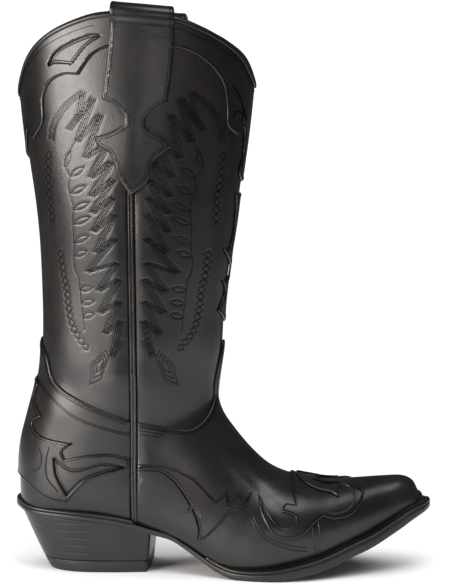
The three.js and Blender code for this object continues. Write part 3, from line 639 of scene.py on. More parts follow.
SOFT_BLACK = ((0.0050, 0.0047, 0.0045), (0.0115, 0.0098, 0.0087))
EDGE_BLACK = ((0.0045, 0.0039, 0.0035), (0.011, 0.0093, 0.0080))
BLACK = leather("Black shaft and foot leather", *SOFT_BLACK, 0.3)
OVERLAY = leather("Black overlay leather", *SOFT_BLACK, 0.29)
STRAP = leather("Black strap leather", (0.0055, 0.0052, 0.005), (0.0115, 0.0100, 0.0090), 0.3, 0.9)
WELTING = leather("Black piping leather", (0.010, 0.0095, 0.009), (0.02, 0.0185, 0.0175), 0.24, 1.4)
LINING = leather("Natural lining leather", (0.33, 0.21, 0.12), (0.43, 0.29, 0.17), 0.62, 1.3, 0.00005)
SOLE = leather("Black edge-dyed sole leather", *EDGE_BLACK, 0.36, 0.7)
HEEL = leather("Black stacked heel leather", *EDGE_BLACK, 0.34, 0.8)
RUBBER = plain("Black heel rubber", (0.0055, 0.0055, 0.0055), (0.011, 0.0107, 0.0104), 0.5, 900)
BOARD = plain("Insole board", (0.42, 0.31, 0.2), (0.5, 0.38, 0.25), 0.8, 700)
STIFF = plain("Stiffener board", (0.36, 0.27, 0.17), (0.45, 0.33, 0.21), 0.85, 500)
CORK = plain("Cork filler", (0.2, 0.11, 0.055), (0.42, 0.26, 0.14), 0.9, 500, 0.0003)
STEEL = plain("Steel shank and nails", (0.42, 0.43, 0.44), (0.5, 0.51, 0.52), 0.32, 300, 0.00003, 1.0)
# Black thread for the stitches; its dark colour also paints the shade lines along slits and under the toe
# leaves.
THREAD_AND_SHADE_LINES = plain("Waxed black thread and painted shade lines", (0.0012, 0.0012, 0.0012), (0.003, 0.003, 0.0029), 0.9, 2500, 0.00006)
THREAD_AND_SHADE_LINES.node_tree.nodes["Principled BSDF"].inputs["Specular IOR Level"].default_value = 0.06


# ---------------------------------------- edges of the pieces
def at_height(z, degrees):
    """Surface point at a height and an angle, on the outer half."""
    v = np.linspace(6, LAST_STATION, 600)
    phi = math.radians(degrees)
    return [float(np.interp(z, skin(v, phi)[:, 2], v)), phi]


def half_edge(outline, ends):
    """Outline on the outer half, cut where it meets the front line (0) or the back line (pi)."""
    vp = on_surface(outline)
    for line in ends:
        if line is not None:
            k = 0
            while k + 1 < len(vp) and abs(vp[k + 1, 1] - line) < ON_LINE:
                k += 1
            vp = vp[k:]
            vp[0, 1] = line
        vp = vp[::-1]
    return vp


def mirrored(vp, about=0.0):
    out = vp.copy()
    out[:, 1] = 2 * about - out[:, 1]
    return out


def both_sides(path, about=0.0):
    return [path, mirrored(path, about)]


def wrapped(half, about):
    """Loop made of a half edge, whose two ends lie on the mirror line, and its mirror image."""
    return np.vstack([half, mirrored(half, about)[-2:0:-1]])


def seam_edge(shift, z_from, z_to, count=120):
    z = np.linspace(z_from, z_to, count)
    return on_surface(np.stack([seam_x(z) + shift, z], -1))


def rim_edge(phi_from, phi_to):
    phi = np.linspace(phi_from, phi_to, 60)
    return np.stack([rim_station(phi), phi], -1)


def up_to_seam(outline, shift):
    """The part of a side-view line on one side of the seam, ordered so that it ends there."""
    pts = np.array(outline, float)
    pts = pts[(pts[:, 0] - seam_x(pts[:, 1]) - shift) * np.sign(shift) > 0]
    return pts if abs(pts[0, 0] - SEAM_X) > abs(pts[-1, 0] - SEAM_X) else pts[::-1]


def crossing_height(outline, shift):
    """Height at which a side-view line crosses the seam's edge."""
    pts = np.array(outline, float)
    d = pts[:, 0] - seam_x(pts[:, 1]) - shift
    k = np.nonzero(np.diff(np.sign(d)))[0][0]
    return pts[k, 1] + d[k] / (d[k] - d[k + 1]) * (pts[k + 1, 1] - pts[k, 1])


def seat_z(x):
    return float(seat_height(x)) + GAP


def seat_edge_front(shift):
    """Lower edge of the foot along the sole, from the seam to the toe."""
    v = np.linspace(surface_at(SEAM_X + shift, seat_z(SEAM_X + shift))[0], TOE_FROM, 130)
    phi = seat_angle(v)
    toe_phi = np.linspace(phi[-1], 0, 50)[1:]
    low, high = np.full(toe_phi.shape, -1.0), np.full(toe_phi.shape, 1.3)
    toe_v = bisected(low, high, 40, lambda v: ~over_seat(v, toe_phi))[1]
    return np.vstack([np.stack([v, phi], -1), np.stack([toe_v, toe_phi], -1)])


def seat_edge_back(shift):
    """Lower edge of the foot along the sole, from the seam to the back line."""
    v = np.linspace(surface_at(SEAM_X + shift, seat_z(SEAM_X + shift))[0], HEEL_TO, 200)
    v = v[~over_seat(v, np.full(v.shape, math.pi))]
    return np.vstack([np.stack([v, seat_angle(v)], -1), [[v[-1] + 0.02, math.pi]]])


def quarter(outline, shift, count=120, down_to=None, edge=None):
    """A piece's edge across the outer side, and its loop from there up to the rim or down to the sole.

    The piece lies in front of the seam where shift is positive, and behind it where it is negative.
    """
    about = 0 if shift > 0 else math.pi
    if edge is None:
        edge = half_edge(up_to_seam(outline, shift), (about, None))
    side = seam_edge(shift, crossing_height(outline, shift), down_to or RIM_TOP, count)
    if down_to is None:
        end = rim_edge(side[-1, 1], about)
    else:
        end = seat_edge_front(shift) if shift > 0 else seat_edge_back(shift)
    return edge, wrapped(np.vstack([edge, side[:-1], end]), about)


# ---------------------------------------- outlines, seen from the side
VAMP_LINE = [[20, 108], [30.6, 105.6], [56, 100.2], [66, 101], [74, 107.5], [78.4, 118], [79.2, 129]]
COUNTER_LINE = [[-50, 172], [-35.5, 150.8], [-28.6, 133.1], [-8.3, 120.6], [16.4, 110], [30, 104.5]]
FRONT_LAP = [[20, 97.5], [56, 90], [71, 92.5], [80, 101], [96, 128]]
BACK_LAP = [[-70, 152], [-40, 137], [-31, 125], [-10, 111], [30, 95]]
FRONT_LINING_EDGE = [[20, 84], [56, 79], [74, 84], [100, 112]]
BACK_LINING_EDGE = [[-70, 128], [-42, 114], [-10, 96], [30, 83]]
COLLAR_BACK = [
    [[-60, 286], [-50, 284], [-47, 305], [-41.3, 299.2]],
    [[-41.3, 299.2], [-33.6, 311.4], [-33.3, 326], [-29, 336.5], [-19, 342], [-7.9, 342]],
    [[-7.9, 342], [2.2, 355.1], [14.7, 360.5], [40, 362]],
]
COLLAR_BACK_WINDOW = [
    [[-29.5, 348.2], [-22.4, 358.3], [-2.9, 367.2], [7.4, 368.1]],
    [[7.4, 368.1], [-3, 361], [-12.6, 349.6]],
    [[-12.6, 349.6], [-24, 350.5], [-29.5, 348.2]],
]
COLLAR_FRONT = [
    [[112, 268], [97, 271], [99, 290], [99.7, 306.6], [95.5, 302]],
    [[95.5, 302], [89.7, 308], [89, 322], [86, 338], [74, 352], [57, 360], [20, 366]],
]
SHIN_OVERLAY = [
    [[120, 262], [94, 262]],
    [[94, 262], [93.3, 249], [89.7, 226], [85.5, 223.9]],
    [[85.5, 223.9], [88.9, 214], [87.6, 203], [84.7, 202.3]],
    [[84.7, 202.3], [86.2, 194], [82.3, 181]],
    [[82.3, 181], [100, 176]],
]
HEEL_OVERLAY = [
    [[-70, 140], [-42.3, 133], [-44, 120.3], [-37.1, 109.1]],
    [[-37.1, 109.1], [-43.2, 106], [-43.6, 100.9], [-36, 95.4], [-14.9, 91.7]],
    [[-14.9, 91.7], [-22, 86.5], [-20.4, 80.8]],
    [[-20.4, 80.8], [-8, 83.5], [8, 84.6], [23.4, 81.6]],
    [[23.4, 81.6], [23.4, 74.9]],
    [[23.4, 74.9], [5.3, 69.9], [-7, 64.5], [-19.3, 51]],
    [[-19.3, 51], [-34, 54.5], [-53, 66.4], [-80, 78]],
]
HEEL_WINDOW = [
    [[-28.4, 82], [-16.3, 74], [-5.4, 75.6], [4, 78.2], [14, 77.4], [20, 75.4]],
    [[20, 75.4], [5.3, 71.8], [-8, 66.5], [-19, 55.5]],
    [[-19, 55.5], [-26.5, 69], [-28.4, 82]],
]
VAMP_FLAME = [
    [[28.6, 77.6], [47, 76.5], [60, 71.5], [69, 65.7], [82.1, 52.8]],
    [[82.1, 52.8], [89.2, 59]],
    [[89.2, 59], [91.4, 50.7]],
    [[91.4, 50.7], [97, 58.4]],
    [[97, 58.4], [100.3, 52.7]],
    [[100.3, 52.7], [106.4, 58.9]],
    [[106.4, 58.9], [103.5, 51.5], [97.5, 47.2], [91.5, 45.4], [86.5, 39.5], [77.4, 30.2], [71.5, 27.5]],
    [[71.5, 27.5], [72, 36], [67, 47.9], [60.1, 58.6], [53.8, 66.7]],
    [[53.8, 66.7], [44, 73], [28.6, 74.5]],
    [[28.6, 74.5], [28.6, 77.6]],
]
TOE_OVERLAY = [
    [[128, 80], [131, 66], [134, 56.5], [136.4, 49.5]],
    [[136.4, 49.5], [129, 50.2], [127.6, 45.6]],
    [[127.6, 45.6], [132.4, 44.6], [136.8, 42.4]],
    [[136.8, 42.4], [136.2, 38.4], [130.5, 35.9], [123.6, 38.4], [116.3, 46.6], [110.5, 57]],
    [[110.5, 57], [112.8, 45.5], [120.5, 33.5], [131, 29], [142, 31], [149, 37.5], [155.5, 42]],
    [[155.5, 42], [164, 39.9], [174, 41.8], [180.5, 47.5], [183.5, 54.5]],
    [[183.5, 54.5], [178, 57.5], [166, 59.2], [152, 61], [146, 80]],
    [[146, 80], [128, 80]],
]
# The tongue's edge above the vamp line, as heights and degrees from the front line.
TONGUE = [(160, 0), (158, 4.5), (151, 8), (141, 11.5)]
WINDOWS = {"collar_back": COLLAR_BACK_WINDOW, "heel_overlay": HEEL_WINDOW}


def loop_of(outline):
    return on_surface(drawn(outline)[:-1])


# ---------------------------------------- upper
def shaft_and_foot_edges():
    """Edges and loops of the two shaft panels and the two foot pieces."""
    vamp_line = drawn([VAMP_LINE])
    line = on_surface(up_to_seam(vamp_line, SEAM_HALF))
    tongue = [at_height(z, degrees) for z, degrees in TONGUE]
    line = np.vstack([catmull(np.vstack([tongue, line[:1]]), 6)[:-1], line])
    return {
        "shaft_front": quarter(drawn([FRONT_LAP]), SEAM_HALF),
        "shaft_back": quarter(drawn([BACK_LAP]), -SEAM_HALF),
        "vamp": quarter(vamp_line, SEAM_HALF, 60, seat_z(SEAM_X + SEAM_HALF), line),
        "counter": quarter(drawn([COUNTER_LINE]), -SEAM_HALF, 60, seat_z(SEAM_X - SEAM_HALF)),
    }


def overlay_edges():
    edges = {
        "collar_back": quarter(drawn(COLLAR_BACK), -SEAM_HALF, 20),
        "collar_front": quarter(drawn(COLLAR_FRONT), SEAM_HALF, 20),
    }
    whole = (("shin_overlay", SHIN_OVERLAY, 0), ("heel_overlay", HEEL_OVERLAY, math.pi),
             ("toe_overlay", TOE_OVERLAY, 0))
    for name, outline, about in whole:
        edge = half_edge(drawn(outline), (about, about))
        edges[name] = (edge, wrapped(edge, about))
    return edges


def overlay_layer(name):
    return FOOT_OVERLAY_LAYER if name in ("heel_overlay", "toe_overlay") else SHAFT_OVERLAY_LAYER


def add_upper(edges, dents):
    for name, (_, loop) in edges.items():
        layer = SHAFT_LAYER if name.startswith("shaft") else FOOT_LAYER
        obj = shell_piece(name + "_leather", [loop], layer, BLACK, PANEL_STEP, dents.get(name))
        stand_in(obj, "black_leather", name)


def add_overlays(edges):
    pieces = [(name, [loop], overlay_layer(name)) for name, (_, loop) in edges.items()]
    flame = loop_of(VAMP_FLAME)
    pieces += [("vamp_flame_outer", [flame], FOOT_OVERLAY_LAYER),
               ("vamp_flame_inner", [mirrored(flame)], FOOT_OVERLAY_LAYER)]
    for name, loops, layer in pieces:
        if name in WINDOWS:
            loops += both_sides(loop_of(WINDOWS[name]), math.pi)
        obj = shell_piece(name + "_leather", loops, layer, OVERLAY)
        stand_in(obj, "overlay_leather", name)


# ---------------------------------------- piping and binding
PIPING = [(-2.15, -1.4), (-2.15, 0.2), (-1.95, 0.95), (-1.5, 1.5), (-1.0, 1.7), (-0.5, 1.5), (-0.15, 0.85),
          (0.15, 0.85), (0.5, 1.45), (1.0, 1.7), (1.5, 1.5), (1.95, 0.95), (2.15, 0.2), (2.15, -1.4)]
PIPING_LIFT = {"foot": 1.1, "less_on_shaft": 0.75, "change_z": 106, "over": 2.5}


def add_side_welts():
    """Folded piping sewn into both side seams, from the sole to the rim."""
    path = resampled(seam_edge(0, seat_z(SEAM_X), RIM_TOP, 200), 1.1, False)
    for side, vp in zip(("outer", "inner"), both_sides(path)):
        p = skin(*vp.T)
        n = normals(*vp.T)
        across = np.cross(n, tangents(p))
        on_shaft = rising(p[:, 2], PIPING_LIFT["change_z"], PIPING_LIFT["over"])
        lift = PIPING_LIFT["foot"] - PIPING_LIFT["less_on_shaft"] * on_shaft
        rows = [p + a * across + (b + lift * (b > 0))[:, None] * n for a, b in PIPING]
        obj = swept("side_welt_" + side + "_piping", np.stack(rows, 1), WELTING)
        stand_in(obj, "black_leather", "side_welt_" + side)


BINDING = [(1.65, -2.4), (2.2, -2.5), (2.55, -2.0), (2.7, -1.0), (2.6, 0.0), (2.1, 0.9), (1.2, 1.5),
           (0.0, 1.8), (-1.5, 1.8), (-2.8, 1.5), (-3.7, 0.9), (-4.1, 0.0), (-4.15, -1.0), (-4.0, -2.0),
           (-3.7, -2.5), (-3.3, -2.4), (-3.3, 0.2), (1.65, 0.2)]
BINDING_JOINT = math.radians(84)
BINDING_JOINT_GAP = 0.012


def add_bindings():
    """Leather folded over the raw top edge, in a front and a back length."""
    back = BINDING_JOINT + BINDING_JOINT_GAP
    for name, start, end in (("front", -BINDING_JOINT, BINDING_JOINT), ("back", back, 2 * math.pi - back)):
        phi = np.linspace(start, end, 230)
        v = rim_station(phi)
        rows = np.stack([skin(v, phi, off) + np.array([0, 0, dz]) for off, dz in BINDING], 1)
        obj = swept("topline_binding_" + name + "_fold", rows, OVERLAY)
        stand_in(obj, "black_leather", "topline_binding_" + name)


# ---------------------------------------- pull straps
# The hinge line along the rim as side-view points, and the loop in section: outward offset and
# height over the zero of its curve, from the outer tab up over the rim and down to the lining.
STRAP_FROM = np.array([15.0, 383.4])
STRAP_TO = np.array([56.0, 380.0])
STRAP_LOOP = [(2.85, -30), (2.85, -8), (3.3, -3.5), (4.7, 0), (5.15, 3), (4.6, 5.6), (2.6, 7.9),
              (0, 8.7), (-2.9, 7.9), (-4.9, 5.6), (-5.4, 3), (-5.0, 0), (-4.4, -3.5), (-4.25, -8),
              (-4.25, -30), (-4.25, -60)]
STRAP_CURVE = catmull(STRAP_LOOP, 10)
STRAP_HINGE_UP = 2.4  # height of the hinge line over the zero of the curve
STRAP_LEAVES = 12  # depth under the zero of the curve at which the strap leaves the leg
STRAP_STATIONS = 2.55  # length of the band, in stations past the rim's
STRAP_ORNAMENT = [
    [[14.2, 372], [12.3, 351], [8.7, 326]],
    [[8.7, 326], [17, 321.5], [22.8, 314], [22, 309], [13.5, 304], [3.7, 301]],
    [[3.7, 301], [6, 294.5], [13.8, 289.7], [17.7, 277.7], [26.3, 261.6]],
    [[26.3, 261.6], [37, 272], [41.2, 285.7], [52.5, 294.3]],
    [[52.5, 294.3], [46, 301], [38.1, 305.6], [36.8, 312], [42, 319], [50.1, 323]],
    [[50.1, 323], [53, 343], [55.4, 372]],
]


def strap_place(v, phi, off):
    """Strap surface: on the leg outside, then up over the rim and down inside."""
    v, phi, off = np.broadcast_arrays(np.asarray(v, float), np.asarray(phi, float), np.asarray(off, float))
    flat = skin(np.minimum(v, LAST_STATION), phi, off)
    share = (flat[..., 0] - STRAP_FROM[0]) / (STRAP_TO[0] - STRAP_FROM[0])
    zero = STRAP_FROM[1] + (STRAP_TO[1] - STRAP_FROM[1]) * share - STRAP_HINGE_UP
    v_start = RIM_STATION + (zero - STRAP_LEAVES - RIM_Z) / STATION_RISE
    s = (v - v_start) * STATION_RISE
    length = arc_length(STRAP_CURVE)
    first_out, first_up = STRAP_LOOP[0]
    s_on = np.clip(s, 0, None) - first_up - STRAP_LEAVES

    def curve(at):
        return np.interp(at, length, STRAP_CURVE[:, 0]), np.interp(at, length, STRAP_CURVE[:, 1])
    out, up = curve(s_on)
    turn_out, turn_up = (a - b for a, b in zip(curve(s_on + 0.3), curve(s_on - 0.3)))
    size = np.maximum(np.hypot(turn_out, turn_up), 1e-9)
    out = out + (off - first_out) * turn_up / size
    up = up - (off - first_out) * turn_out / size
    level = unit(normals(v_start, phi) * np.array([1, 1, 0]))
    rise = np.stack([0 * up, 0 * up, up + STRAP_LEAVES], -1)
    bent = skin(v_start, phi, 0.0) + level * out[..., None] + rise
    return np.where((s > 0)[..., None], bent, flat)


def strap_outline():
    """The strap laid out flat: its ornament, its straight band and its lining tab."""
    ornament = on_surface(drawn(STRAP_ORNAMENT))
    top_v = RIM_STATION + STRAP_STATIONS
    sides = []
    for v, phi in (ornament[-1] + [0, 0.004], ornament[0] - [0, 0.004]):
        sides.append(np.stack([np.linspace(v, top_v, 60)[1:], np.full(59, phi)], -1))
    return np.vstack([ornament, sides[0], sides[1][::-1]])


def blend_strap(obj):
    """Bakes a piece's placement into its mesh data."""
    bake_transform(obj)


def add_straps():
    for side, loop in zip(("outer", "inner"), both_sides(strap_outline())):
        name = "pull_strap_" + side
        obj = shell_piece(name, [loop], STRAP_LAYER, STRAP, STRAP_STEP, None, None, STRAP_EDGE, strap_place)
        stand_in(obj, "strap_leather", *(name + part for part in ("_front_tab", "_lining_tab", "_loop")))
        blend_strap(obj)


# ---------------------------------------- sole, welt and heel
def even_loop(points, count):
    pts = np.vstack([points, points[:1]])
    s = arc_length(pts)
    return along(pts, s, np.linspace(0, s[-1], count, endpoint=False))


SOLE_POINTS = 420
SOLE_LOOP = even_loop(catmull(SOLE_OUTLINE, 12, closed=True), SOLE_POINTS)


def inset_loop(loop, distance):
    inward = leftward(tangents(loop, True))
    return loop + (inward if (loop * -inward).sum() >= 0 else -inward) * distance


# Sections: insets and shares of the height for the sole's edge; for the welt and the rand,
# shares of the ledge's width and heights over the sole.
ROUNDED = [(0.9, 0.0), (0.35, 0.04), (0.08, 0.14), (0.0, 0.3), (0.0, 0.7), (0.08, 0.86), (0.35, 0.96),
           (0.9, 1.0)]
WELT_PROFILE = [(1.0, 0.35), (1.0, 1.1), (0.94, 1.75), (0.86, 2.15), (0.75, 2.35), (0.55, 2.6), (0.3, 2.95),
                (0.1, 3.5), (0.0, 4.0), (0.0, 0.35)]
RAND_PROFILE = [(1.0, 0.35), (1.0, 1.1), (0.9, 1.8), (0.75, 2.15), (0.5, 2.4), (0.25, 2.6), (0.0, 2.9),
                (0.0, 0.35)]
SOLE_CENTRE = (80, 0)
LEAST_LEDGE = 1.2
WELT_FROM_X = 76
RAND_TO_X = 37.5
WELT_PITCH = 3.1
WELT_SPACING = 1.5  # of the points along the welt and the rand


def add_outsole():
    """Sole with a rounded edge, between the tread and the seat."""
    rings = []
    for inset, share in ROUNDED:
        ring = inset_loop(SOLE_LOOP, inset)
        low, high = tread_height(ring[:, 0]), seat_height(ring[:, 0])
        rings.append(np.column_stack([ring, low + (high - low) * share]))
    numbers = np.arange(len(rings) * len(SOLE_LOOP)).reshape(len(rings), -1)
    faces = [quad for a, b in zip(numbers[:-1], numbers[1:]) for quad in band(a, b)]
    verts = np.vstack(rings)
    for k, height in ((0, tread_height), (-1, seat_height)):
        tris, loose = filled([rings[k][:, :2]], 2.5, 0.6)
        index = np.concatenate([numbers[k], len(verts) + np.arange(len(loose))])
        faces += [tuple(index[t]) for t in tris]
        verts = np.vstack([verts, np.column_stack([loose, height(loose[:, 0])])])
    obj = new_object("outsole_leather", verts, faces, SOLE)
    stand_in(obj, "sole_leather", "outsole")


def ray_to_outline(point, direction):
    """Distance from a point to the sole's outline, seen from above."""
    e = np.roll(SOLE_LOOP, -1, axis=0) - SOLE_LOOP
    w = SOLE_LOOP - point
    det = direction[0] * e[:, 1] - direction[1] * e[:, 0]
    det = np.where(np.abs(det) < 1e-9, 1e-9, det)
    t = (w[:, 0] * e[:, 1] - w[:, 1] * e[:, 0]) / det
    u = (w[:, 0] * direction[1] - w[:, 1] * direction[0]) / det
    ok = (u >= 0) & (u <= 1) & (t > 0)
    return t[ok].min() if ok.any() else 3.0


def edge_strip(name, vp, profile, cad_node):
    """Strip that fills the ledge between the upper and the sole's outline."""
    plan = skin(*vp.T, WELT_CLEAR)[:, :2]
    outward = -leftward(tangents(plan))
    if ((plan - SOLE_CENTRE) * outward).sum() < 0:
        outward = -outward
    rows = []
    for p, n in zip(plan, outward):
        reach = max(LEAST_LEDGE, ray_to_outline(p, n))
        plan_row = [p + n * reach * share for share, _ in profile]
        rows.append([(*q, float(seat_height(q[0])) + dz) for q, (_, dz) in zip(plan_row, profile)])
    obj = swept(name, rows, SOLE)
    stand_in(obj, "sole_leather", cad_node)
    return np.array(rows)


def add_welt_and_rand():
    front = resampled(seat_edge_front(SEAM_HALF), WELT_SPACING, False)
    front = front[skin(*front.T)[:, 0] > WELT_FROM_X]
    rows = edge_strip("welt_leather", np.vstack([front, mirrored(front)[-2::-1]]), WELT_PROFILE, "welt")
    back = resampled(seat_edge_back(0), WELT_SPACING, False)
    back = back[skin(*back.T)[:, 0] < RAND_TO_X]
    back = np.vstack([back, mirrored(back, math.pi)[-2::-1]])
    edge_strip("heel_rand_leather", back, RAND_PROFILE, "heel_rand")
    return rows


def add_welt_stitches(rows):
    """Heavy lockstitches along the welt, a little inside its edge."""
    line = rows[:, 4] * 0.75 + rows[:, 5] * 0.25
    s = arc_length(line)
    count = int(s[-1] / WELT_PITCH)
    t = (np.arange(count) + 0.5) * s[-1] / count
    ahead = unit(along(line, s, t + 0.8) - along(line, s, t - 0.8))
    up = np.tile([0.0, 0.0, 1.0], (count, 1))
    up = unit(up - ahead * (up * ahead).sum(1, keepdims=True))
    stitch_object("welt_stitches", [(along(line, s, t), up, ahead)], WELT_SIZE)


HEEL_POINTS = 150
HEEL_ROWS = 56
HEEL_HEIGHT = 46
HEEL_BACK = (-36.5, -22)  # at the floor, and what the height adds; so for the next two
HEEL_BREAST = (34, 4.5)
HEEL_HALF = (26.5, 5.7)
HEEL_WIDEST_X = -4.0
HEEL_CURVE = 0.86
HEEL_CENTRE = (-5.0, 0.0)
STACK_BASE = 8.5  # top of the rubber
STACK_HEIGHT = 32.0
LIFT = 5.3
GROOVE = {"depth": 0.22, "width": 0.28}
# Heights and insets of the rubber top lift.
TOP_LIFT = [(0.0, 0.7), (0.35, 0.2), (0.9, 0.0), (4.0, 0.0), (7.3, 0.0), (7.8, 0.15), (8.2, 0.6)]


def heel_outline(z):
    """Plan of the heel at a height: a flat breast, and sides running into a round back."""
    t = z / HEEL_HEIGHT
    back = HEEL_BACK[0] + HEEL_BACK[1] * t ** 0.9
    breast = HEEL_BREAST[0] + HEEL_BREAST[1] * t
    half = HEEL_HALF[0] + HEEL_HALF[1] * t
    a = np.linspace(0, math.pi / 2, 24)
    curve = np.column_stack([HEEL_WIDEST_X + (back - HEEL_WIDEST_X) * np.sin(a) ** HEEL_CURVE,
                             half * np.cos(a) ** HEEL_CURVE])
    curve[-1, 1] = 0
    side = np.vstack([[breast, 0], [breast, 0.6 * half], [breast - 0.15, 0.82 * half],
                      [breast - 1.2, 0.868 * half], [(breast + HEEL_WIDEST_X) / 2, 0.965 * half], curve])
    return even_loop(np.vstack([side, (side * [1, -1])[-2:0:-1]]), HEEL_POINTS)


def add_heel():
    """Stacked leather lifts over a rubber top lift."""
    rows = []
    for share in np.linspace(0, 1, HEEL_ROWS):
        z = np.full(HEEL_POINTS, STACK_BASE + share * STACK_HEIGHT)
        for _ in range(6):
            loop = heel_outline(float(z.mean()))
            z = STACK_BASE + share * (tread_height(loop[:, 0]) - GAP - STACK_BASE)
        rows.append(np.column_stack([loop, z]))
    rows = np.array(rows)
    for ring in rows:
        for j in range(HEEL_POINTS):
            ring[j, :2] = heel_outline(float(ring[j, 2]))[j]
    depth = np.abs(((rows[..., 2] - STACK_BASE) / LIFT + 0.5) % 1 - 0.5) * LIFT
    groove = GROOVE["depth"] * bump(depth, 0, GROOVE["width"])
    rows[..., :2] -= unit(rows[..., :2] - HEEL_CENTRE) * groove[..., None]
    stand_in(swept("heel_block_stack", rows, HEEL), "heel_leather", "heel_block")
    rings = []
    for z, inset in TOP_LIFT:
        rings.append(np.column_stack([inset_loop(heel_outline(z), inset), np.full(HEEL_POINTS, z)]))
    stand_in(swept("top_lift_rubber", rings, RUBBER), "heel_rubber", "top_lift")


# ---------------------------------------- inside
def add_linings():
    half = GAP / 2
    front, back = drawn([FRONT_LINING_EDGE]), drawn([BACK_LINING_EDGE])
    pieces = {
        "shaft_lining_front": quarter(front, half),
        "vamp_lining": quarter(front, half, 40, seat_z(SEAM_X)),
        "shaft_lining_back": quarter(back, -half),
        "counter_lining": quarter(back, -half, 40, seat_z(SEAM_X)),
    }
    for name, (_, loop) in pieces.items():
        obj = shell_piece(name + "_leather", [loop], LINING_LAYER, LINING, LINING_STEP, edge=LINING_EDGE)
        stand_in(obj, "lining_leather", name)


def dress_hidden_pieces():
    """Materials of the pieces that show as their CAD solids."""
    nails = {f"heel_nail_{i}": STEEL for i in range(1, 6)}
    hidden = {"insole": BOARD, "sock_liner": LINING, "toe_puff": STIFF, "heel_stiffener": STIFF,
              "bottom_filler": CORK, "shank": STEEL, **nails}
    for name, material in hidden.items():
        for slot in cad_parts[name].material_slots:
            slot.material = material


# ---------------------------------------- stitching
# One stitch: along, across and height, as shares of its length, width and rise.
GRAIN = np.array([[-0.5, 0, -0.6], [-0.3, -0.5, 0], [-0.3, 0, 0.9], [-0.3, 0.5, 0],
                  [0.3, -0.5, 0], [0.3, 0, 0.9], [0.3, 0.5, 0], [0.5, 0, -0.6]])
GRAIN_FACES = [(0, 1, 2), (0, 2, 3), (1, 4, 5, 2), (2, 5, 6, 3), (4, 7, 5), (5, 7, 6), (0, 3, 1),
               (1, 3, 6, 4), (4, 6, 7)]
EDGE_SIZE = (1.35, 0.78, 0.36)
DECOR_SIZE = (1.15, 0.56, 0.28)
WELT_SIZE = (2.5, 0.8, 0.45)
EDGE_PITCH = 1.6
DECOR_PITCH = 1.45
DENT_DEPTH = 0.2
DENT_WIDTH = 0.7
# Heights of stitches over the leather that they hold, and distances of rows from its edge.
PROUD = 0.08
SUNK = -0.04
FOOT_ROWS = (1.5, 2.9)
STRAP_ROWS = (1.5, 3.0)
OVERLAY_ROW = 1.3
FLAME_ROW = 1.2
TOPLINE_ROW = 6.5
COUNTER_ROWS = (0.0, 1.3)
STRAP_SINE = 0.975  # sine of the angle past which the straps cover the rim
LEAST_SHARE = 0.86  # of its distance that a stitch keeps from every edge
ROW_GAP = 3.5  # times the usual spacing at which a row is taken as broken
ROW_SPACING = 0.8  # of the points along a row or cord
FINE_SPACING = 0.7


def sewn(vp, off, place=skin, pitch=EDGE_PITCH, closed=False):
    """Stitch centres, normals and directions at an even pitch along a path; none if it is too short."""
    pts = np.vstack([vp, vp[:1]]) if closed else vp
    s = arc_length(place(*pts.T, off))
    if s[-1] < pitch:
        return []
    count = max(1, int(round(s[-1] / pitch)))
    t = (np.arange(count) + 0.5) * s[-1] / count
    middle, before, after = (along(pts, s, t + k * pitch).T for k in (0, -0.3, 0.3))
    direction = unit(place(*after, off) - place(*before, off))
    return [(place(*middle, off), normals(*middle, off, place), direction)]


def sewn_parts(row, off, place=skin):
    """Stitches along a row that may have gaps where points were left out."""
    jump = np.linalg.norm(np.diff(skin(*row.T), axis=0), axis=1)
    cuts = np.nonzero(jump > ROW_GAP * np.median(jump) + 0.5)[0]
    return [made for part in np.split(row, cuts + 1) if len(part) > 2 for made in sewn(part, off, place)]


def stitch_object(name, rows, size, body=BODY):
    """Many stitches as one object; rows are (points, normals, directions); size is length, width, rise."""
    p, n, t = (np.vstack(part)[:, None] for part in zip(*rows))
    length, width, rise = size
    along_it, across_it, up = (GRAIN[None, :, k:k + 1] for k in range(3))
    verts = p + along_it * length * t + across_it * width * np.cross(n, t) + up * rise * n
    faces = [tuple(8 * i + k for k in f) for i in range(len(p)) for f in GRAIN_FACES]
    obj = new_object(name, verts.reshape(-1, 3), faces, THREAD_AND_SHADE_LINES, body, turn_out=False)
    return obj


def inset_row(loop, path, distance, closed=False):
    """The path moved into the loop by a distance, without the parts that come too near an edge."""
    row = shifted(path, distance, closed)
    third = len(row) // 3
    if not inside(to_grid(row[third:third + 1]), to_grid(loop))[0]:
        row = shifted(path, -distance, closed)
    return row[nearest(skin(*loop.T), skin(*row.T)) > LEAST_SHARE * distance]


def inset_rows(loop, path, off, gaps):
    return [made for gap in gaps for made in sewn_parts(inset_row(loop, path, gap), off)]


def outside_row(loop, distance, off):
    """Stitches round the outside of a window."""
    row = shifted(loop, distance)
    if inside(to_grid(row[:1]), to_grid(loop))[0]:
        row = shifted(loop, -distance)
    return sewn(row, off, closed=True)


def add_foot_edge_stitches(edges):
    rows = []
    for name, about in (("vamp", 0), ("counter", math.pi)):
        edge, loop = edges[name]
        for path in both_sides(resampled(edge, ROW_SPACING, False), about):
            rows += inset_rows(loop, path, FOOT_LAYER[1] + 0.06, FOOT_ROWS)
    stitch_object("foot_edge_stitches", rows, EDGE_SIZE)


def add_overlay_stitches(edges):
    rows = []
    for name, (edge, loop) in edges.items():
        about = math.pi if name in WINDOWS else 0
        for path in both_sides(resampled(edge, FINE_SPACING, False), about):
            rows += inset_rows(loop, path, overlay_layer(name)[1] + PROUD, (OVERLAY_ROW,))
    for name, outline in WINDOWS.items():
        window = turned_left(resampled(loop_of(outline), FINE_SPACING))
        for loop in both_sides(window, math.pi):
            rows += outside_row(loop, FLAME_ROW, overlay_layer(name)[1] + SUNK)
    for loop in both_sides(resampled(loop_of(VAMP_FLAME), FINE_SPACING)):
        rows += inset_rows(loop, loop, FOOT_OVERLAY_LAYER[1] + PROUD, (FLAME_ROW,))
    stitch_object("overlay_edge_stitches", rows, EDGE_SIZE)


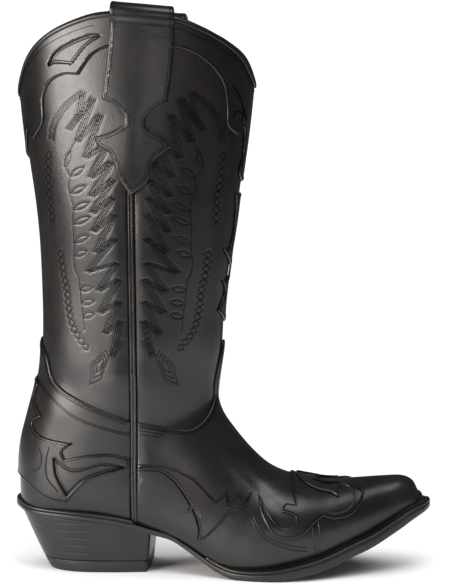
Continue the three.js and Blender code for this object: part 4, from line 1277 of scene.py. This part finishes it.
def add_topline_stitches():
    """Row under the binding, left out under the straps."""
    phi = np.linspace(0, 2 * math.pi, 900)
    row = np.stack([rim_station(phi, TOPLINE_ROW), phi], -1)[np.abs(np.sin(phi)) < STRAP_SINE]
    rows = sewn_parts(row, SHAFT_OVERLAY_LAYER[1] + SUNK)
    stitch_object("topline_stitches", rows, EDGE_SIZE)


def add_strap_stitches():
    for side, loop in zip(("outer", "inner"), both_sides(resampled(strap_outline(), FINE_SPACING))):
        rows = []
        for gap in STRAP_ROWS:
            rows += sewn_parts(inset_row(loop, loop, gap, True), STRAP_LAYER[1] + SUNK, strap_place)
        obj = stitch_object("pull_strap_" + side + "_stitches", rows, EDGE_SIZE, None)
        blend_strap(obj)


# ---------------------------------------- decorative rows on the shaft
ZIGZAG = [[-29.9, 299.4], [-27.8, 310.1], [-18.6, 321.8], [-5.9, 331.4], [-8.9, 316.1], [-16.7, 306.1],
          [0.9, 327.1], [-10.7, 298.1], [6.2, 316.1], [-4.7, 287.5], [11.4, 297.2], [-1.3, 274.2],
          [13.3, 284.9], [-1.1, 261.4], [14.1, 272.9], [-0.1, 250.3], [14.0, 261.2], [0.1, 237.9],
          [14.9, 249.8], [1.5, 223.7], [15.3, 233.8], [-5.0, 210.6], [16.0, 217.2], [2.5, 197.8],
          [17.3, 206.0], [3.7, 182.8], [17.1, 191.0], [6.7, 168.5], [17.6, 177.8], [11.5, 152.8],
          [17.4, 164.8]]
ZIGZAG_TURN = 4  # the first points are one smooth sweep
LOW_FEATHER = [[8.5, 156.8], [-1.2, 146.6], [-3.4, 132.6], [4.6, 136.4], [10.4, 150.6]]
VINE = [[-10.7, 298.1], [-14.8, 291.4], [-18.8, 281.6], [-15.2, 274.0], [-16.5, 266.8], [-14.5, 259.2],
        [-13.1, 253.1], [-13.8, 244.3], [-13.5, 234.2], [-13.3, 225.3], [-14.3, 218.5], [-12.9, 209.3],
        [-10.8, 206.3], [-9.9, 198.2], [-8.9, 188.6], [-7.6, 178.4], [-6.7, 170.2]]
LEAVES = [([-14.4, 291.4], [-18.8, 280.4]), ([-14.7, 274.3], [-4.6, 280.6]), ([-14.5, 262.8],
          [-3.6, 268.0]), ([-13.1, 251.8], [-1.4, 256.8]), ([-13.3, 242.2], [-0.7, 247.2]),
          ([-13.4, 229.6], [-2.2, 234.4]), ([-13.4, 220.4], [-4.0, 224.2]), ([-9.9, 197.4],
          [-0.6, 199.2]), ([-9.0, 188.2], [0.8, 190.2]), ([-8.0, 179.0], [0.9, 181.4])]
SIDE_FERN = [[-31.0, 291.0], [-31.8, 280.0], [-31.6, 266.0], [-30.4, 254.0], [-29.8, 242.0]]
LOW_FERN = [[-24.6, 224.0], [-22.4, 208.0], [-19.8, 196.0], [-18.4, 184.0], [-14.6, 170.0], [-4.4, 156.4]]
ZIGZAG_ROWS = 4
ZIGZAG_FIRST = -0.8  # sideways shift of the first row, and the step from row to row
ZIGZAG_STEP = (1.2, -0.4)
FEATHER_SHRINK = 0.3
LEAF_WIDTH = 3.8
SIDE_SWING = (1.9, 10.4)  # how far a braid swings, and its period
LOW_SWING = (2.1, 9.6)


def almond(base, tip, width):
    """Leaf outline between two points."""
    base, tip = np.array(base, float), np.array(tip, float)
    t = np.linspace(0, 1, 9)
    spine = base + np.outer(t, tip - base)
    bulge = np.outer(np.sin(math.pi * t) * width / 2, leftward(unit(tip - base)[None])[0])
    return np.vstack([spine + bulge, (spine - bulge)[-2::-1]])


def dense(points, step=1.0):
    pts = np.array(points, float)
    s = arc_length(pts)
    t = np.linspace(0, s[-1], max(2, int(s[-1] / step) + 1))
    return along(pts, s, np.unique(np.concatenate([t, s])))


def braid(stem, swing, period):
    """Two rows that cross each other along a stem, like a chain of leaves."""
    line = dense(catmull(stem, 8), 0.8)
    wave = swing * np.sin(2 * math.pi * arc_length(line) / period)[:, None] * leftward(tangents(line))
    return [line + wave, line - wave]


def decor_rows():
    """Decorative rows on the outer half of the back panel, in side view."""
    spikes = np.array(ZIGZAG[ZIGZAG_TURN:], float)
    zigzag = np.vstack([catmull(ZIGZAG[:ZIGZAG_TURN], 6), spikes])
    step_x, step_z = ZIGZAG_STEP
    rows = [zigzag + [step_x * k + ZIGZAG_FIRST, step_z * k] for k in range(ZIGZAG_ROWS)]
    feather = np.array([*LOW_FEATHER, LOW_FEATHER[0]], float)
    centre = feather.mean(axis=0)
    rows += [centre + (feather - centre) * (1 - FEATHER_SHRINK * k) for k in range(3)]
    rows.append(catmull(VINE, 5))
    rows += [almond(base, tip, LEAF_WIDTH) for base, tip in LEAVES]
    rows += braid(SIDE_FERN, *SIDE_SWING)
    rows += braid(LOW_FERN, *LOW_SWING)
    return [dense(r) for r in rows]


def in_front(row):
    """A back-panel row carried over to the front panel, mirrored about the side seam."""
    return np.column_stack([2 * seam_x(row[:, 1]) - row[:, 0], row[:, 1]])


def decor_paths():
    rows = decor_rows()
    panels = {"shaft_back": rows, "shaft_front": [in_front(row) for row in rows]}
    return {name: [path for row in lines for path in both_sides(on_surface(row))]
            for name, lines in panels.items()}


def dent_field(paths):
    """How deep the stitches of the paths press the leather in, as a function of points."""
    samples = np.vstack([skin(*vp.T) for vp in paths])
    return lambda points: DENT_DEPTH * bump(nearest(samples, points), 0, DENT_WIDTH)


def add_decor(paths):
    for panel, rows in paths.items():
        made = [stitches for vp in rows for stitches in sewn(vp, -0.02, pitch=DECOR_PITCH)]
        stitch_object(panel + "_decor_stitches", made, DECOR_SIZE)


# ---------------------------------------- raised cords, leaves and dark lines of painted shade
# Section of a cord: across and height, as shares of its width and height.
CORD = [(-0.5, -0.35), (-0.42, 0.45), (-0.2, 0.9), (0.2, 0.9), (0.42, 0.45), (0.5, -0.35)]
COLLAR_SLIT = [[92.2, 335.5], [95.4, 330.2], [97.6, 324.4], [99.0, 318.2], [100.6, 312.4]]
COLLAR_CURL = [[92.4, 313.6], [93.2, 316.8], [95.8, 318.0], [98.0, 316.4], [98.2, 313.4], [96.6, 310.8]]
HEEL_FEATHER = [[-31.0, 89.0], [-33.2, 80.0], [-32.6, 68.0], [-24.8, 58.6]]
HEEL_HOOK = [[-37.9, 87.6], [-36.4, 80.5], [-38.6, 73.7], [-44.8, 71.6]]
TOE_LOWER = [[106.6, 42.5], [110.7, 34.9], [118.2, 27.8], [131.6, 22.6], [144.2, 20.6]]
TOE_HOOK = [[164.3, 53.6], [165.0, 57.0], [168.9, 58.2], [173.6, 57.2], [176.2, 54.4], [176.6, 50.6],
            [174.6, 46.8], [171, 44.6], [166.4, 43.4], [162, 43.2], [158.4, 44.2]]
TOE_SLITS = [[[144.7, 43.4], [148.2, 36.2], [149.6, 26.5], [151.0, 17.8]],
             [[152.2, 40.5], [153.2, 32.0], [153.4, 24.0], [152.6, 17.4]]]
COUNTER_SECOND = [[-47, 138], [-40, 130.5], [-29.5, 121.4], [-16.1, 110.9], [1.3, 103.3], [16.3, 98.9],
                  [23, 97.4]]
SEAM_BARS = [[[29.5, 103.2], [38, 101.2], [47, 99.2]], [[29.5, 100.6], [38, 98.8], [46, 97.2]],
             [[29.5, 98.0], [36, 96.8], [42, 95.8]]]
# The leaf on the toe, as distances forward and degrees from the top line.
PETAL_LOW = [(135.5, 8), (141, 20), (151, 30), (160, 35), (166, 44)]
PETAL_HIGH = [(166, 44), (163, 31), (155, 22), (147, 15), (135.5, 8)]
PETAL_SLIT = [(147, 11), (152, 15), (158, 17), (165, 18)]
# Widths and heights of the cords and of the painted shade lines.
COLLAR_SHADE_LINE = (1.3, 0.8)
HEEL_CORD = (1.5, 0.9)
FOOT_CORD = (1.1, 0.75)
HOOK_CORD = (1.7, 1.0)
LEAF_SHADE_LINE = (1.2, 0.7)
# Offsets of the ground under a cord or a painted shade line, and side-view shifts or distances from the
# line it follows.
SHADE_LINE_ON_COLLAR = SHAFT_OVERLAY_LAYER[1] - 0.05
CORD_ON_FOOT = FOOT_LAYER[1] - 0.05
CORD_ON_OVERLAY = FOOT_OVERLAY_LAYER[1] - 0.1
CORD_ON_HEEL = 3.15
SHADE_LINE_BY_LEAF = 3.35
SLIT_BY_LEAF = 3.2
LOWER_SHIFT = (0.8, 2.2)
EDGE_SHIFT = (1.3, -1.6)
FLAME_DISTANCE = 1.3
LEAF_DISTANCE = -0.35


def paired(paths):
    """Surface paths with their offsets, and their mirror images on the inner side."""
    return [*paths, *((mirrored(vp), off) for vp, off in paths)]


def smooth_path(points, move=(0, 0)):
    return on_surface(catmull(points, 8) + move)


def cords(name, paths, size, material):
    """Thin raised lines on both sides of the boot; paths are (surface path, offset)."""
    width, height = size
    verts, faces = np.empty((0, 3)), []
    for vp, off in paired(paths):
        vp = resampled(vp, ROW_SPACING, False, 60)
        p, n = skin(*vp.T, off), normals(*vp.T, off)
        from_end = np.minimum(np.arange(len(p)), np.arange(len(p))[::-1])
        side = np.cross(n, tangents(p)) * np.clip(from_end / 4, 0.25, 1)[:, None]
        rows = np.stack([p + side * a * width + n * b * height for a, b in CORD], 1)
        faces += swept_faces(len(p), len(CORD), len(verts))
        verts = np.vstack([verts, rows.reshape(-1, 3)])
    new_object(name, verts, faces, material)


def at_length(x, degrees):
    """Surface point of the foot at a distance forward and an angle from its top line."""
    v = np.linspace(9.5, 0, 500)
    phi = math.radians(degrees)
    return [float(np.interp(x, skin(v, phi)[:, 0], v)), phi]


def add_collar_shade_lines():
    """Dark lines that paint the shade in a slit and a curl near the front of the collar."""
    lines = [(smooth_path(line), SHADE_LINE_ON_COLLAR) for line in (COLLAR_SLIT, COLLAR_CURL)]
    # Painted shade: dark thread-coloured cords stand in for the shade in the cuts.
    cords("collar_painted_shade_lines", lines, COLLAR_SHADE_LINE, THREAD_AND_SHADE_LINES)


def add_foot_cords():
    lines = [(smooth_path(line), CORD_ON_HEEL) for line in (HEEL_FEATHER, HEEL_HOOK)]
    cords("heel_corded_lines", lines, HEEL_CORD, OVERLAY)
    lines = [smooth_path(TOE_LOWER), smooth_path(TOE_LOWER, LOWER_SHIFT), *map(smooth_path, TOE_SLITS)]
    edge = on_surface(drawn(TOE_OVERLAY[3:4]) + np.array(EDGE_SHIFT))
    flame = resampled(on_surface(drawn(VAMP_FLAME[7:9])), ROW_SPACING, False)
    raised = (edge, shifted(flame, FLAME_DISTANCE, False))
    lines = [*((line, CORD_ON_FOOT) for line in lines), *((line, CORD_ON_OVERLAY) for line in raised)]
    cords("foot_corded_lines", lines, FOOT_CORD, OVERLAY)
    hook = on_surface(catmull(TOE_HOOK, 6))
    cords("toe_hook_cord", [(hook, CORD_ON_OVERLAY)], HOOK_CORD, OVERLAY)


def add_toe_leaves():
    """A leaf on each side of the toe, with a dark line of painted shadow along its lower edge and a dark
    line of painted shade along a slit beside it.
    """
    outlines = (PETAL_LOW, PETAL_HIGH, PETAL_SLIT)
    low, high, slit = (catmull([at_length(x, a) for x, a in part], 8) for part in outlines)
    for side, leaf in zip(("outer", "inner"), both_sides(np.vstack([low[:-1], high[:-1]]))):
        shell_piece("toe_leaf_" + side, [leaf], LEAF_LAYER, OVERLAY)
    low, slit = (resampled(line, ROW_SPACING, False) for line in (low, slit))
    # Painted shade: dark thread-coloured cords stand in for the shadow under each leaf's lower edge and the
    # shade in the slit beside it.
    dark = [(shifted(low, LEAF_DISTANCE, False), SHADE_LINE_BY_LEAF), (slit, SLIT_BY_LEAF)]
    cords("toe_leaf_painted_shade_lines", dark, LEAF_SHADE_LINE, THREAD_AND_SHADE_LINES)


def add_foot_row_stitches():
    """Second rows on the counter, and short bars in front of the side seam."""
    off = FOOT_LAYER[1] - SUNK
    rows = []
    for path in both_sides(resampled(smooth_path(COUNTER_SECOND), ROW_SPACING, False)):
        for gap in COUNTER_ROWS:
            rows += sewn_parts(shifted(path, gap, False), off)
    for bar in SEAM_BARS:
        for path in both_sides(on_surface(dense(bar))):
            rows += sewn_parts(path, off)
    stitch_object("foot_rows_stitches", rows, EDGE_SIZE)


# ---------------------------------------- camera, light and floor
CAMERA_DISTANCE = 1.3  # metres, like every length in this part
CAMERA_AZIMUTH = math.radians(4)
CAMERA_ELEVATION = math.radians(5.5)
CAMERA_TARGET = Vector((0.087, 0, 0.1932))
SENSOR = 36
FOCAL_SHARE = 1875 / 584  # focal length over the picture's height
FLOOR = {"left": -0.75, "right": 0.75, "front": -0.5, "back": 0.6}
WHITE = (1, 1, 1)
WARM = (1.0, 0.955, 0.92)
SUN_POWER = 3.2
SUN_SPREAD = math.radians(100)
SKY_LIGHT = 0.085
SKY_SEEN = 1.1
# Name, place, size, power, aim and colour of each soft light.
SOFT_LIGHTS = [
    ("key_left", (-0.84, -0.94, 0.36), (0.72, 0.55), 20, (0.0, -0.03, 0.25), WARM),
    ("top_soft", (0.35, -0.55, 1.25), (0.6, 0.5), 5, (0.13, 0, 0.05), WHITE),
    ("vamp_soft", (0.26, -1.5, 0.3), (0.45, 0.15), 1.2, (0.06, -0.03, 0.08), WARM),
    ("heel_low", (-0.19, -0.38, 0.025), (0.2, 0.04), 0.2, (-0.01, -0.03, 0.085), WARM),
]


def placed(name, data, where=(0, 0, 0), away=None):
    """A new object that looks away from a direction, if one is given."""
    obj = bpy.data.objects.new(name, data)
    obj.location = where
    if away is not None:
        obj.rotation_euler = away.to_track_quat("Z", "Y").to_euler()
    bpy.context.collection.objects.link(obj)
    return obj


def add_camera():
    level = math.cos(CAMERA_ELEVATION)
    away = Vector((math.sin(CAMERA_AZIMUTH) * level, -math.cos(CAMERA_AZIMUTH) * level,
                   math.sin(CAMERA_ELEVATION)))
    cam = bpy.data.cameras.new("camera")
    cam.sensor_fit = "VERTICAL"
    cam.sensor_height = SENSOR
    cam.lens = SENSOR * FOCAL_SHARE
    bpy.context.scene.camera = placed("camera", cam, CAMERA_TARGET + CAMERA_DISTANCE * away, away)


def add_floor():
    mesh = bpy.data.meshes.new("floor")
    left, right, front, back = (FLOOR[side] for side in ("left", "right", "front", "back"))
    corners = [(left, front, 0), (right, front, 0), (right, back, 0), (left, back, 0)]
    mesh.from_pydata(corners, [], [(0, 1, 2, 3)])
    mesh.materials.append(plain("Pale studio floor", (0.86, 0.86, 0.86), (0.88, 0.88, 0.88), 0.85, 3, 0.0))
    placed("floor", mesh)


def add_lights():
    for name, where, size, power, aim, color in SOFT_LIGHTS:
        light = bpy.data.lights.new(name, "AREA")
        light.shape = "RECTANGLE"
        light.size, light.size_y = size
        light.energy = power
        light.color = color
        placed(name, light, where, Vector(where) - Vector(aim))
    sun = bpy.data.lights.new("floor_wash", "SUN")
    sun.energy = SUN_POWER
    sun.angle = SUN_SPREAD
    sun.specular_factor = 0.0
    placed("floor_wash", sun).visible_glossy = False


def add_world():
    """White backdrop for the camera, which lights the boot only faintly."""
    world = bpy.data.worlds.new("studio")
    bpy.context.scene.world = world
    world.use_nodes = True
    tree = world.node_tree
    sky = tree.nodes["Background"]
    sky.inputs["Color"].default_value = (*WHITE, 1)
    seen = node(tree, "ShaderNodeLightPath", (-600, 200)).outputs["Is Camera Ray"]
    tree.links.new(remap(tree, seen, 0, 1, (-300, 200), SKY_LIGHT, SKY_SEEN), sky.inputs["Strength"])
    bpy.context.scene.view_settings.view_transform = "Standard"


# ---------------------------------------- the boot
add_camera()
add_floor()
add_lights()
add_world()

UPPER_EDGES = shaft_and_foot_edges()
OVERLAY_EDGES = overlay_edges()
DECOR = decor_paths()
add_upper(UPPER_EDGES, {panel: dent_field(paths) for panel, paths in DECOR.items()})
add_overlays(OVERLAY_EDGES)
add_decor(DECOR)
add_foot_edge_stitches(UPPER_EDGES)
add_overlay_stitches(OVERLAY_EDGES)
add_topline_stitches()
add_strap_stitches()
add_collar_shade_lines()
add_foot_cords()
add_toe_leaves()
add_foot_row_stitches()
add_side_welts()
add_bindings()
add_straps()
add_outsole()
add_welt_stitches(add_welt_and_rand())
add_heel()
add_linings()
dress_hidden_pieces()
